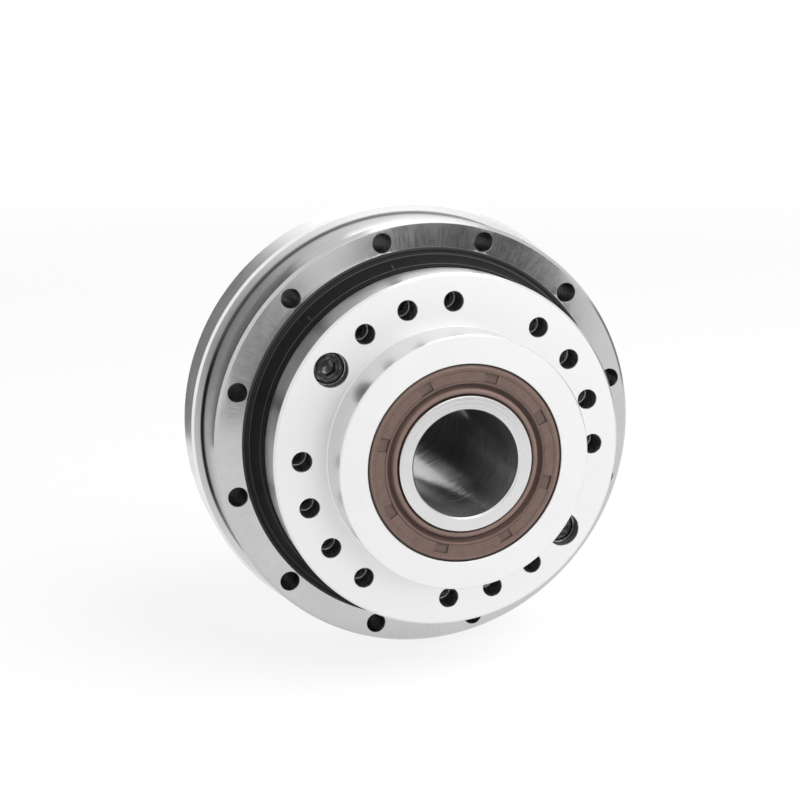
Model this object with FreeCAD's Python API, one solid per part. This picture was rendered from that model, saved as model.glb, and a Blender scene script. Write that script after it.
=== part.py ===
import FreeCAD, Part

import math
import os

# Strain wave gearbox with a hollow input shaft, in millimetres.
# Every piece is turned about a local Z axis whose zero is the front face of the main bearing's
# outer ring and whose + side is the output side. Pieces are laid over when they are written, so
# that in the finished part the output side faces -Y and +Z is up.

# Tooth mesh
module = 0.27
flexspline_teeth = 160
tooth_difference = 2
flank_angle = 28.6
flexspline_addendum = 0.22
flexspline_tip_land = 0.20
spline_root_gap = 0.25
minor_axis_gap = 0.07

# Flexspline, a thin cup with an outward brim
rim_wall = 0.40
tube_wall = 0.34
diaphragm_wall = 0.60
diaphragm_drop = 0.60
cup_corner = 1.40
brim_width = 5.65
brim_thickness = 2.40
flexspline_end_gap = 0.30
tooth_overrun = 0.20

# Wave generator bearing
wave_ball_diameter = 3.50
wave_ball_count = 23
wave_outer_wall = 0.85
wave_inner_wall = 0.95
wave_race_shoulder = 0.60
wave_bearing_width = 6.50
retainer_thickness = 1.00
retainer_reach = 0.60
retainer_relief = 0.30

# Circular spline and output flange
spline_rim = 4.66
spline_edge = 3.00
spline_width = 8.00
output_edge = 5.00
output_thickness = 7.90
output_skirt = 3.00
output_boss_wall = 5.00
output_boss_height = 8.40
output_chamfer = 0.40
boss_chamfer = 0.20
output_places = 20
output_empty_step = 5
output_first_angle = 89.45
output_screw_count = 2
output_screw_angle = 54.0
output_hole_diameter = 3.50
output_hole_relief = 4.75

# Main crossed roller bearing
main_seal_width = 3.00
main_seal_depth = 3.20
main_seal_pocket_gap = 0.10
main_seal_lip_height = 5.40
main_seal_crown = 1.00
main_seal_wall = 1.65
main_seal_shoulder = 0.36
main_seal_shoulder_height = 3.50
main_seal_lip_wall = 0.15
main_seal_lip_length = 0.55
race_shoulder = 3.00
race_land_gap = 0.40
roller_plane = 6.80
roller_diameter = 3.00
roller_length = 2.80
roller_count = 40
spacer_diameter = 2.60
inner_ring_front_width = 4.00
inner_ring_back_gap = 0.80
flexspline_room = 1.00
ring_length = 13.40
ring_inner_land = 0.25
ring_outer_land = 1.25
ring_front_chamfer = 0.60
ring_back_chamfer = 0.40
ring_hole_diameter = 3.50
ring_hole_count = 12
ring_first_angle = 13.90

# Rear flange
flange_step = 2.00
flange_thickness = 9.50
flange_chamfer = 0.45
rear_boss_wall = 4.00
rear_boss_height = 10.50
rear_boss_chamfer = 0.50
rear_seal_pocket = 7.50
rear_screw_count = 6

# Hollow shaft
shaft_bore = 19.00
shaft_front_wall = 2.50
shaft_seat_step = 0.50
shaft_rear_wall = 5.50
shaft_neck_wall = 4.00
shaft_collar_height = 1.50
shaft_collar_width = 1.50
shaft_rear_standout = 1.60
shaft_chamfer = 0.30
shaft_drive_holes = 6
shaft_drive_hole_depth = 6.00

# Shaft bearings
bearing_section = 6.00
bearing_width = 7.00
bearing_land_offset = 1.30
bearing_ball_diameter = 3.50
front_ball_count = 15
rear_ball_count = 17
shield_thickness = 0.25
shield_inset = 0.30
shield_gap = 0.15
cage_wall = 1.00
cage_side = 0.80
pocket_gap = 0.10
bearing_web = 1.20
web_lip = 1.70

# Oil seals
seal_section = 5.50
seal_face_recess = 0.20
seal_back_gap = 0.30
seal_lead = 0.30
seal_edge = 0.42
seal_case_wall = 1.25
seal_web = 2.30
seal_waist = 0.85
dust_lip_wall = 1.45
dust_lip_crest = 0.30
dust_lip_front = 0.10
dust_lip_depth = 0.55
dust_groove_width = 0.60
dust_groove_depth = 0.90
dust_groove_draft = 0.12
main_lip_wall = 1.20
main_lip_relief = 0.33
main_lip_lead = 0.50
main_lip_end = 0.60
spring_radius = 0.55
spring_setback = 2.00
seal_mark_count = 8
seal_mark_angle = 9.0
seal_first_mark = 28.5
seal_mark_inset = 1.38
seal_mark_length = 1.54
seal_mark_depth = 0.15

# Screws: large for the output side, small for the rear flange
large_screw_diameter = 3.00
large_head_diameter = 5.50
large_head_height = 3.00
large_socket = 2.50
large_tap_diameter = 2.50
large_hole_diameter = 3.40
small_screw_diameter = 2.50
small_head_diameter = 4.50
small_head_height = 2.50
small_socket = 2.00
small_tap_diameter = 2.05
small_hole_diameter = 2.90
head_room = 0.25
head_recess = 0.40
output_head_recess = 2.30
output_screw_length = 8.00
inner_screw_length = 20.00
rear_screw_length = 11.00
tap_run_out = 0.50

# O rings and clearances
o_ring_section = 0.80
o_ring_groove_gap = 0.20
run_gap = 0.05
seat_gap = 0.01

# Radii that follow from the tooth mesh, outwards
wave = tooth_difference * module / 2
flank = math.tan(math.radians(flank_angle))
spline_teeth = flexspline_teeth + tooth_difference
flexspline_tip = flexspline_teeth * module / 2 + flexspline_addendum
tip_pitch = 2 * math.pi * flexspline_tip / flexspline_teeth
tooth_depth = (tip_pitch - flexspline_tip_land) / (2 * flank + 2 * math.pi / flexspline_teeth)
flexspline_root = flexspline_tip - tooth_depth
flexspline_bore = flexspline_root - rim_wall
flexspline_neutral = flexspline_root - rim_wall / 2
spline_tip = flexspline_tip - wave + minor_axis_gap
spline_root = flexspline_tip + wave + spline_root_gap
output_circle = spline_root + spline_rim
spline_outer = output_circle + spline_edge
output_outer = output_circle + output_edge
ring_bore = output_outer + main_seal_width
race_bore = ring_bore - race_shoulder
ring_circle = ring_bore + ring_inner_land + ring_hole_diameter / 2
ring_outer = ring_circle + ring_hole_diameter / 2 + ring_outer_land
flange_outer = ring_outer + flange_step
brim_outer = ring_circle + ring_hole_diameter / 2 + ring_outer_land / 2 - seat_gap
inner_ring_bore = spline_root + flexspline_room
roller_pitch = race_bore - race_land_gap / 2
inner_ring_outer = race_bore - race_land_gap
roller_seat = (roller_diameter / 2 + run_gap) * math.sqrt(2)

# Radii that follow from the tooth mesh, inwards
wave_outer = flexspline_bore - run_gap
wave_pitch = wave_outer - wave_outer_wall - run_gap - wave_ball_diameter / 2
cam_radius = wave_pitch - wave_ball_diameter / 2 - run_gap - wave_inner_wall

# Radii that follow from the shaft's bore
shaft_inner = shaft_bore / 2
shaft_front = shaft_inner + shaft_front_wall
front_seat = shaft_front + shaft_seat_step
rear_seat = shaft_inner + shaft_rear_wall
shaft_neck = shaft_inner + shaft_neck_wall
shaft_collar = rear_seat + shaft_collar_height
drive_circle = (shaft_inner + rear_seat) / 2 + shaft_seat_step
front_bearing_outer = front_seat + bearing_section
rear_bearing_outer = rear_seat + bearing_section
front_land = front_seat + bearing_section / 2 - bearing_land_offset
front_seal_seat = shaft_front + seal_section
rear_seal_seat = rear_seat + seal_section + shaft_seat_step
output_boss = front_seal_seat + output_boss_wall
rear_boss = rear_bearing_outer + rear_boss_wall

# Planes across the axis, from the ring's front face
ring_back = -ring_length
roller_z = -roller_plane
spline_back = roller_z + inner_ring_front_width
spline_front = spline_back + spline_width
output_face = spline_front + output_thickness
boss_front = output_face + output_boss_height
skirt_back = spline_front - output_skirt
inner_ring_back = ring_back + inner_ring_back_gap
tooth_front = spline_front - flexspline_end_gap
tooth_back = spline_back - tooth_overrun
cup_back = ring_back - diaphragm_drop
hat_start = cup_back + cup_corner
brim_back = ring_back - brim_thickness
wave_middle = (spline_front + spline_back) / 2
wave_front = wave_middle + wave_bearing_width / 2
wave_back = wave_middle - wave_bearing_width / 2
front_bearing_back = wave_front + retainer_thickness
front_bearing_front = front_bearing_back + bearing_width
front_web = front_bearing_front + bearing_web
flange_back = ring_back - flange_thickness
rear_boss_back = flange_back - rear_boss_height
rear_web = rear_boss_back + rear_seal_pocket
rear_bearing_back = rear_web + bearing_web
rear_bearing_front = rear_bearing_back + bearing_width
shaft_end = rear_boss_back - shaft_rear_standout
output_head_seat = output_face - output_head_recess - large_head_height
rear_head_seat = flange_back + head_recess + small_head_height
inner_head_seat = inner_ring_back + head_recess + large_head_height

ORIGIN = FreeCAD.Vector(0, 0, 0)
AXIS = FreeCAD.Vector(0, 0, 1)


def meridian(radius, z):
    return FreeCAD.Vector(radius, 0, z)


def polar(radius, degrees, z):
    angle = math.radians(degrees)
    return FreeCAD.Vector(radius * math.cos(angle), radius * math.sin(angle), z)


def turned(edges):
    """A solid of revolution from the edges of its half section."""
    solid = Part.Face(Part.Wire(edges)).revolve(ORIGIN, AXIS, 360)
    if solid.Volume < 0:
        solid.reverse()
    return solid


def line(start, end):
    return Part.LineSegment(start, end).toShape()


def lathe(points):
    """A turned solid whose half section is a polygon of (radius, z) corners."""
    corners = [meridian(radius, z) for radius, z in points]
    return turned([line(a, b) for a, b in zip(corners, corners[1:] + corners[:1])])


def ring(inner, outer, back, front):
    return lathe([(inner, back), (outer, back), (outer, front), (inner, front)])


def rods(angles, circle, radius, back, front):
    """Round cutters along the axis, one at each angle of a hole circle."""
    return [Part.makeCylinder(radius, front - back, polar(circle, a, back)) for a in angles]


def even_angles(count, first):
    return [first + 360.0 * i / count for i in range(count)]


def copies(shape, angles):
    """The same solid turned to each angle about the axis."""
    return [shape.copy().rotate(ORIGIN, AXIS, angle) for angle in angles]


def moved(shape, place):
    placed = shape.copy()
    placed.translate(place)
    return placed


def oval(shape, mean_radius):
    """A round solid pressed to the wave generator's oval, long along X."""
    matrix = FreeCAD.Matrix()
    matrix.scale(1 + wave / mean_radius, 1 - wave / mean_radius, 1)
    return shape.transformGeometry(matrix)


def write(name, shape):
    """Lays a piece over so that the output side faces -Y, and writes it."""
    laid = shape.copy()
    laid.rotate(ORIGIN, FreeCAD.Vector(1, 0, 0), 90)
    laid.exportStep(os.path.join("parts", name + ".step"))


def write_group(name, solids):
    write(name, Part.makeCompound(solids))


ring_angles = even_angles(ring_hole_count, ring_first_angle)
rear_screw_angles = even_angles(rear_screw_count, ring_first_angle + 180.0 / ring_hole_count)
place_angles = even_angles(output_places, output_first_angle)
empty_angles = place_angles[output_empty_step - 1::output_empty_step]
output_screw_angles = even_angles(output_screw_count, output_first_angle + output_screw_angle)
taken_angles = empty_angles + output_screw_angles
output_hole_angles = [a for a in place_angles if not any(math.isclose(a, b) for b in taken_angles)]


# Fasteners

def hexagon(across, z, depth):
    corner = across / math.sqrt(3)
    corners = [polar(corner, 60 * i, z) for i in range(7)]
    return Part.Face(Part.makePolygon(corners)).extrude(FreeCAD.Vector(0, 0, depth))


def cap_screw(size, head, head_height, socket, core, length, free_length):
    """A socket head screw whose head sits on z = 0 and whose thread, at core size, points to -Z."""
    body = lathe([(0, 0), (0, -length), (core, -length), (core, -free_length), (size, -free_length),
                  (size, 0), (head, 0), (head, head_height), (0, head_height)])
    return body.cut(hexagon(socket, head_height / 2, head_height))


def large_screw(length, free_length):
    return cap_screw(large_screw_diameter / 2, large_head_diameter / 2, large_head_height,
                     large_socket, large_tap_diameter / 2 - seat_gap, length, free_length)


def backwards(shape):
    return shape.copy().rotate(ORIGIN, FreeCAD.Vector(1, 0, 0), 180)


def make_screws():
    output_screw = large_screw(output_screw_length, output_head_seat - spline_front)
    write_group("output_cap_screws", [moved(output_screw, polar(output_circle, a, output_head_seat))
                                      for a in output_screw_angles])
    inner_screw = backwards(large_screw(inner_screw_length, spline_front - inner_head_seat))
    write_group("inner_ring_screws", [moved(inner_screw, polar(output_circle, a, inner_head_seat))
                                      for a in empty_angles])
    rear_screw = backwards(cap_screw(small_screw_diameter / 2, small_head_diameter / 2,
                                     small_head_height, small_socket,
                                     small_tap_diameter / 2 - seat_gap,
                                     rear_screw_length, ring_back - rear_head_seat))
    write_group("rear_flange_screws", [moved(rear_screw, polar(ring_circle, a, rear_head_seat))
                                       for a in rear_screw_angles])


# Teeth

def flexed(angle, height, aside):
    """A point of the flexspline's teeth, given at an angle of the round cup by its height above
    the rim's neutral line and its distance aside, after the wave generator has pressed the cup oval
    without stretching it."""
    out = flexspline_neutral + wave * math.cos(2 * angle)
    along = -wave / 2 * math.sin(2 * angle)
    tilt = 1.5 * wave * math.sin(2 * angle) / flexspline_neutral
    radial = out + height * math.cos(tilt) - aside * math.sin(tilt)
    tangential = along + height * math.sin(tilt) + aside * math.cos(tilt)
    return FreeCAD.Vector(radial * math.cos(angle) - tangential * math.sin(angle),
                          radial * math.sin(angle) + tangential * math.cos(angle), 0)


def flexspline_outline():
    step = 2 * math.pi / flexspline_teeth
    root = flexspline_root - flexspline_neutral
    tip = flexspline_tip - flexspline_neutral
    points = []
    for i in range(flexspline_teeth):
        points.append(flexed((i - 0.5) * step, root, 0))
        points.append(flexed(i * step, tip, -flexspline_tip_land / 2))
        points.append(flexed(i * step, tip, flexspline_tip_land / 2))
    return Part.makePolygon(points + points[:1])


def spline_outline():
    step = 360.0 / spline_teeth
    half_space = math.degrees((spline_root - spline_tip) * flank / spline_tip)
    points = []
    for i in range(spline_teeth):
        points.append(polar(spline_tip, i * step - half_space, 0))
        points.append(polar(spline_root, i * step, 0))
        points.append(polar(spline_tip, i * step + half_space, 0))
    return Part.makePolygon(points + points[:1])


def oval_wire(radius, z):
    return Part.Wire(Part.Ellipse(FreeCAD.Vector(0, 0, z), radius + wave, radius - wave).toShape())


def round_wire(radius, z):
    return Part.Wire(Part.Circle(FreeCAD.Vector(0, 0, z), AXIS, radius).toShape())


def prism(wire, back, front):
    """A solid of constant section between two planes, from a closed flat wire drawn at z = 0."""
    solid = Part.Face(wire).extrude(FreeCAD.Vector(0, 0, front - back))
    return moved(solid, FreeCAD.Vector(0, 0, back))


def tapering(radius):
    """A tapering plug, oval at the teeth and round again where the cup meets its diaphragm."""
    return Part.makeLoft([oval_wire(radius, tooth_back), round_wire(radius, hat_start)], True, True)


def hat():
    """The rounded corner of the cup, its thin diaphragm and the thick clamped brim."""
    inner_corner = cup_corner + diaphragm_wall
    tube_outer = flexspline_bore + tube_wall
    brim_inner = brim_outer - brim_width
    diaphragm_back = cup_back - diaphragm_wall
    slant = math.sqrt(0.5)
    outside = Part.Arc(meridian(tube_outer, hat_start),
                       meridian(tube_outer + cup_corner * (1 - slant), hat_start - cup_corner * slant),
                       meridian(tube_outer + cup_corner, cup_back)).toShape()
    inside = Part.Arc(meridian(flexspline_bore + inner_corner, diaphragm_back),
                      meridian(flexspline_bore + inner_corner * (1 - slant),
                               hat_start - inner_corner * slant),
                      meridian(flexspline_bore, hat_start)).toShape()
    corners = [meridian(tube_outer + cup_corner, cup_back), meridian(brim_inner, cup_back),
               meridian(brim_inner, ring_back), meridian(brim_outer, ring_back),
               meridian(brim_outer, brim_back), meridian(brim_inner, brim_back),
               meridian(brim_inner, diaphragm_back),
               meridian(flexspline_bore + inner_corner, diaphragm_back)]
    flat = [line(a, b) for a, b in zip(corners, corners[1:])]
    mouth = line(meridian(flexspline_bore, hat_start), meridian(tube_outer, hat_start))
    return turned([outside] + flat + [inside, mouth])


def make_flexspline():
    teeth = prism(flexspline_outline(), tooth_back, tooth_front)
    blank = teeth.fuse(tapering(flexspline_bore + tube_wall))
    bore = prism(oval_wire(flexspline_bore, 0), tooth_back, tooth_front)
    cup = blank.cut([bore, tapering(flexspline_bore)]).fuse(hat())
    holes = rods(ring_angles, ring_circle, ring_hole_diameter / 2, brim_back, ring_back)
    holes += rods(rear_screw_angles, ring_circle, small_hole_diameter / 2, brim_back, ring_back)
    write("flexspline", cup.cut(holes))


def make_circular_spline():
    blank = ring(0, spline_outer, spline_back, spline_front)
    spline = blank.cut(prism(spline_outline(), spline_back, spline_front))
    taps = rods(output_screw_angles, output_circle, large_tap_diameter / 2,
                output_head_seat - output_screw_length - tap_run_out, spline_front)
    holes = rods(empty_angles, output_circle, large_hole_diameter / 2, spline_back, spline_front)
    write("circular_spline", spline.cut(taps + holes))


# Output flange and its O ring

def bead(radius, half, z):
    """A ring of six sided section, flat where its groove squeezes it."""
    corner = half / math.cos(math.radians(30))
    return lathe([(radius + corner * math.cos(math.radians(60 * i)),
                   z + corner * math.sin(math.radians(60 * i))) for i in range(6)])


def o_ring(radius, z):
    """An O ring pressed into its groove: it fills the groove's depth."""
    return bead(radius, o_ring_section / 2, z)


def o_ring_groove(radius, back, front):
    half = o_ring_section / 2 + o_ring_groove_gap
    return ring(radius - half, radius + half, back, front)


def make_output_flange():
    flange = lathe([
        (front_seal_seat + seal_lead, boss_front), (output_boss - boss_chamfer, boss_front),
        (output_boss, boss_front - boss_chamfer), (output_boss, output_face),
        (output_outer - output_chamfer, output_face), (output_outer, output_face - output_chamfer),
        (output_outer, skirt_back), (spline_outer + seat_gap, skirt_back),
        (spline_outer + seat_gap, spline_front), (front_bearing_outer + seat_gap, spline_front),
        (front_bearing_outer + seat_gap, front_bearing_front),
        (front_bearing_outer - web_lip, front_bearing_front),
        (front_bearing_outer - web_lip, front_web), (front_seal_seat, front_web),
        (front_seal_seat, boss_front - seal_lead)])
    tap = large_tap_diameter / 2
    cuts = rods(output_hole_angles, output_circle, tap, spline_front, output_face)
    cuts += rods(output_hole_angles, output_circle, output_hole_diameter / 2,
                 output_face - output_hole_relief, output_face)
    cuts += rods(output_screw_angles, output_circle, large_hole_diameter / 2,
                 spline_front, output_head_seat)
    cuts += rods(output_screw_angles, output_circle, large_head_diameter / 2 + head_room,
                 output_head_seat, output_face)
    cuts += rods(empty_angles, output_circle, tap, spline_front,
                 inner_head_seat + inner_screw_length + tap_run_out)
    seal_circle = (spline_root + output_circle - output_hole_diameter / 2) / 2
    groove = o_ring_groove(seal_circle, spline_front, spline_front + o_ring_section)
    write("output_flange", flange.cut(cuts + [groove]))
    write("output_o_ring", o_ring(seal_circle, spline_front + o_ring_section / 2))


# Main crossed roller bearing and its seal

def make_main_bearing():
    groove = roller_seat - race_land_gap / 2
    outer = lathe([
        (race_bore, ring_back), (ring_outer - ring_back_chamfer, ring_back),
        (ring_outer, ring_back + ring_back_chamfer), (ring_outer, -ring_front_chamfer),
        (ring_outer - ring_front_chamfer, 0), (ring_bore, 0),
        (ring_bore, -main_seal_depth - main_seal_pocket_gap),
        (race_bore, -main_seal_depth - main_seal_pocket_gap), (race_bore, roller_z + groove),
        (roller_pitch + roller_seat, roller_z), (race_bore, roller_z - groove)])
    through = rods(ring_angles, ring_circle, ring_hole_diameter / 2, ring_back, 0)
    taps = rods(rear_screw_angles, ring_circle, small_tap_diameter / 2, ring_back,
                rear_head_seat + rear_screw_length + tap_run_out)
    seal_circle = (race_bore + ring_circle - ring_hole_diameter / 2) / 2
    channel = o_ring_groove(seal_circle, ring_back, ring_back + o_ring_section)
    write("bearing_outer_ring", outer.cut(through + taps + [channel]))
    write("housing_o_ring", o_ring(seal_circle, ring_back + o_ring_section / 2))

    screws = rods(empty_angles, output_circle, large_hole_diameter / 2, inner_ring_back, spline_back)
    heads = rods(empty_angles, output_circle, large_head_diameter / 2 + head_room,
                 inner_ring_back, inner_head_seat)
    front_half = lathe([
        (inner_ring_bore, roller_z), (roller_pitch - roller_seat, roller_z),
        (inner_ring_outer, roller_z + groove), (inner_ring_outer, spline_back),
        (inner_ring_bore, spline_back)])
    write("bearing_inner_ring_front", front_half.cut(screws))
    rear_half = lathe([
        (inner_ring_bore, roller_z), (roller_pitch - roller_seat, roller_z),
        (inner_ring_outer, roller_z - groove), (inner_ring_outer, inner_ring_back),
        (inner_ring_bore, inner_ring_back)])
    write("bearing_inner_ring_rear", rear_half.cut(screws + heads))


def leaning_roller(degrees, lean, radius, length):
    """A roller on the pitch circle, its axis leaning 45 degrees to the front or to the back."""
    outward = polar(1, degrees, 0)
    direction = (outward + AXIS * lean) * math.sqrt(0.5)
    centre = polar(roller_pitch, degrees, roller_z)
    return Part.makeCylinder(radius, length, centre - direction * (length / 2), direction)


def make_rollers():
    """Rollers lean to the front and to the back in turn, with a saddle shaped spacer between."""
    step = 360.0 / roller_count
    pair_angles = even_angles(roller_count // 2, 0)
    rollers = []
    spacers = []
    for side, lean in enumerate((1, -1)):
        first = leaning_roller(side * step, lean, roller_diameter / 2, roller_length)
        rollers += copies(first, pair_angles)
        spacer_length = 2 * roller_pitch * math.sin(math.radians(step / 2)) - roller_diameter / 2
        between = (side + 0.5) * step
        tangent = polar(1, between + 90, 0)
        start = polar(roller_pitch, between, roller_z) - tangent * (spacer_length / 2)
        blank = Part.makeCylinder(spacer_diameter / 2, spacer_length, start, tangent)
        beside = [leaning_roller((side + i) * step, lean * (1 - 2 * i),
                                 roller_diameter / 2 + run_gap, 2 * roller_length) for i in (0, 1)]
        spacers += copies(blank.cut(beside), pair_angles)
    write_group("crossed_rollers", rollers)
    write_group("roller_spacers", spacers)


def make_main_seal():
    """A lip seal pressed into the ring's mouth, whose cone leans forward on to the output flange."""
    lip = output_outer + run_gap
    press = ring_bore - seat_gap
    inside = ring_bore - main_seal_wall
    shoulder = lip + main_seal_shoulder
    write("main_seal", lathe([
        (inside, -main_seal_depth), (press, -main_seal_depth), (press, 0),
        (ring_bore - main_seal_crown, 0), (shoulder, main_seal_shoulder_height),
        (lip + main_seal_lip_wall, main_seal_lip_height), (lip, main_seal_lip_height),
        (lip, main_seal_lip_height - main_seal_lip_length),
        (shoulder - main_seal_lip_wall, main_seal_shoulder_height - main_seal_lip_length),
        (inside, -main_seal_pocket_gap)]))


# Rear flange

def make_rear_flange():
    flange = lathe([
        (rear_bearing_outer + seat_gap, brim_back), (brim_outer + seat_gap, brim_back),
        (brim_outer + seat_gap, ring_back), (flange_outer - flange_chamfer, ring_back),
        (flange_outer, ring_back - flange_chamfer), (flange_outer, flange_back + flange_chamfer),
        (flange_outer - flange_chamfer, flange_back), (rear_boss, flange_back),
        (rear_boss, rear_boss_back + rear_boss_chamfer),
        (rear_boss - rear_boss_chamfer, rear_boss_back), (rear_seal_seat + seal_lead, rear_boss_back),
        (rear_seal_seat, rear_boss_back + seal_lead), (rear_seal_seat, rear_web),
        (rear_bearing_outer - web_lip, rear_web), (rear_bearing_outer - web_lip, rear_bearing_back),
        (rear_bearing_outer + seat_gap, rear_bearing_back)])
    holes = rods(ring_angles, ring_circle, ring_hole_diameter / 2, flange_back, brim_back)
    screw_holes = rods(rear_screw_angles, ring_circle, small_hole_diameter / 2, flange_back, brim_back)
    counterbores = rods(rear_screw_angles, ring_circle, small_head_diameter / 2 + head_room,
                        flange_back, rear_head_seat)
    seal_circle = brim_outer - brim_width + o_ring_section / 2 + 2 * o_ring_groove_gap
    channel = o_ring_groove(seal_circle, brim_back - o_ring_section, brim_back)
    write("rear_flange", flange.cut(holes + screw_holes + counterbores + [channel]))
    write("brim_o_ring", o_ring(seal_circle, brim_back - o_ring_section / 2))


# Hollow shaft and wave generator

def make_shaft():
    core = lathe([
        (shaft_inner, shaft_end + shaft_chamfer), (shaft_inner + shaft_chamfer, shaft_end),
        (rear_seat - shaft_chamfer, shaft_end), (rear_seat, shaft_end + shaft_chamfer),
        (rear_seat, rear_bearing_front), (shaft_collar, rear_bearing_front),
        (shaft_collar, rear_bearing_front + shaft_collar_width),
        (shaft_neck, rear_bearing_front + shaft_collar_width),
        (shaft_neck, wave_back - shaft_collar_width), (shaft_collar, wave_back - shaft_collar_width),
        (shaft_collar, wave_back), (front_seat, wave_back), (front_seat, front_bearing_front),
        (shaft_front, front_bearing_front), (shaft_front, boss_front - shaft_chamfer),
        (shaft_front - shaft_chamfer, boss_front), (shaft_inner + shaft_chamfer, boss_front),
        (shaft_inner, boss_front - shaft_chamfer)])
    blank = Part.makeCylinder(cam_radius, wave_bearing_width, FreeCAD.Vector(0, 0, wave_back))
    cam = oval(blank, cam_radius).cut(ring(0, front_seat, wave_back, wave_front))
    taps = rods(even_angles(shaft_drive_holes, 0), drive_circle, large_tap_diameter / 2,
                shaft_end, shaft_end + shaft_drive_hole_depth)
    write("hollow_shaft", core.fuse(cam).cut(taps))
    washer_outer = cam_radius + wave + retainer_reach
    relieved = front_bearing_back - retainer_relief
    write("wave_bearing_retainer", lathe([
        (front_seat + seat_gap, wave_front), (washer_outer, wave_front), (washer_outer, relieved),
        (front_land, relieved), (front_land, front_bearing_back),
        (front_seat + seat_gap, front_bearing_back)]))


def race(seat, land, pitch, groove, back, front):
    """A bearing ring between its seat and its land, with a ball groove in the land."""
    middle = (back + front) / 2
    half = math.sqrt(groove ** 2 - (pitch - land) ** 2)
    bottom = pitch + groove if land > pitch else pitch - groove
    flat = [meridian(land, middle + half), meridian(land, front), meridian(seat, front),
            meridian(seat, back), meridian(land, back), meridian(land, middle - half)]
    arc = Part.Arc(flat[-1], meridian(bottom, middle), flat[0]).toShape()
    return turned([line(a, b) for a, b in zip(flat, flat[1:])] + [arc])


def pocketed(band, places, radius):
    """A cage band with a round radial pocket at each ball."""
    drills = [Part.makeCylinder(radius, math.hypot(place.x, place.y) + cage_wall,
                                FreeCAD.Vector(0, 0, place.z), FreeCAD.Vector(place.x, place.y, 0))
              for place in places]
    return band.cut(drills)


def make_wave_bearing():
    ball = wave_ball_diameter / 2
    groove = ball + run_gap
    inner_land = wave_pitch - groove + wave_race_shoulder
    outer_land = wave_pitch + groove - wave_race_shoulder
    inner = race(cam_radius + seat_gap, inner_land, wave_pitch, groove, wave_back, wave_front)
    outer = race(wave_outer, outer_land, wave_pitch, groove, wave_back, wave_front)
    write("wave_bearing_inner_race", oval(inner, cam_radius))
    write("wave_bearing_outer_race", oval(outer, wave_outer))
    places = []
    for angle in even_angles(wave_ball_count, 0):
        reach = wave_pitch + wave * math.cos(2 * math.radians(angle))
        places.append(polar(reach, angle, wave_middle))
    write_group("wave_bearing_balls", [Part.makeSphere(ball, place) for place in places])
    band = ring(wave_pitch - cage_wall / 2, wave_pitch + cage_wall / 2,
                wave_back + cage_side, wave_front - cage_side)
    write("wave_bearing_cage", pocketed(oval(band, wave_pitch), places, ball + pocket_gap))


# Shaft bearings and oil seals

def make_shaft_bearing(name, bore, back, ball_count):
    """A shielded deep groove ball bearing: two rings, balls, cage and two shields."""
    front = back + bearing_width
    outer = bore + bearing_section
    pitch = (bore + outer) / 2
    ball = bearing_ball_diameter / 2
    inner_land = pitch - bearing_land_offset
    outer_land = pitch + bearing_land_offset
    write(name + "_inner_ring", race(bore + seat_gap, inner_land, pitch, ball + run_gap, back, front))
    write(name + "_outer_ring", race(outer, outer_land, pitch, ball + run_gap, back, front))
    places = [polar(pitch, angle, (back + front) / 2) for angle in even_angles(ball_count, 0)]
    write_group(name + "_balls", [Part.makeSphere(ball, place) for place in places])
    band = ring(pitch - cage_wall / 2, pitch + cage_wall / 2, back + cage_side, front - cage_side)
    write(name + "_cage", pocketed(band, places, ball + pocket_gap))
    write_group(name + "_shields", [
        ring(inner_land + shield_gap, outer_land - seat_gap, low, low + shield_thickness)
        for low in (back + shield_inset, front - shield_inset - shield_thickness)])


def oil_seal(shaft, seat, face, deep, facing):
    """A shaft seal. Its profile runs from the case over the face and the dust lip's groove, down to
    the two lips that meet the shaft and back along the spring's bed. facing is 1 for a seal that
    looks to the front and -1 for one that looks to the back."""
    lip = shaft + run_gap
    press = seat - seat_gap
    groove_inner = lip + dust_lip_wall
    groove_outer = groove_inner + dust_groove_width
    bed = lip + main_lip_wall
    spring_depth = deep - spring_setback

    def at(radius, depth):
        return (radius, face - facing * depth)

    return lathe([
        at(press, deep), at(press, seal_edge), at(press - seal_edge, 0),
        at(groove_outer + dust_groove_draft, 0), at(groove_outer, dust_groove_depth),
        at(groove_inner, dust_groove_depth), at(lip + dust_lip_crest, dust_lip_front),
        at(lip, dust_lip_depth), at(lip + seal_waist, seal_web), at(lip, spring_depth - main_lip_lead),
        at(lip + main_lip_relief, deep - main_lip_end), at(bed, deep - main_lip_end),
        at(bed, spring_depth - 2 * spring_radius), at(bed + seal_waist, seal_web),
        at(press - seal_case_wall, seal_web), at(press - seal_case_wall, deep)])


def seal_spring(shaft, face, deep, facing):
    """The garter spring in its bed behind the main lip."""
    bed = shaft + run_gap + main_lip_wall
    corner = spring_radius / math.cos(math.radians(30))
    return bead(bed + corner + seat_gap, spring_radius, face - facing * (deep - spring_setback))


def seal_marks(seat, face):
    """Shallow moulded recesses round the visible face of the front seal."""
    outer = seat - seal_mark_inset
    inner = outer - seal_mark_length
    corners = [meridian(inner, face - seal_mark_depth), meridian(outer, face - seal_mark_depth),
               meridian(outer, face + seal_mark_depth), meridian(inner, face + seal_mark_depth)]
    mark = Part.Face(Part.makePolygon(corners + corners[:1])).revolve(ORIGIN, AXIS, seal_mark_angle)
    return copies(mark, even_angles(seal_mark_count, seal_first_mark - seal_mark_angle / 2))


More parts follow.
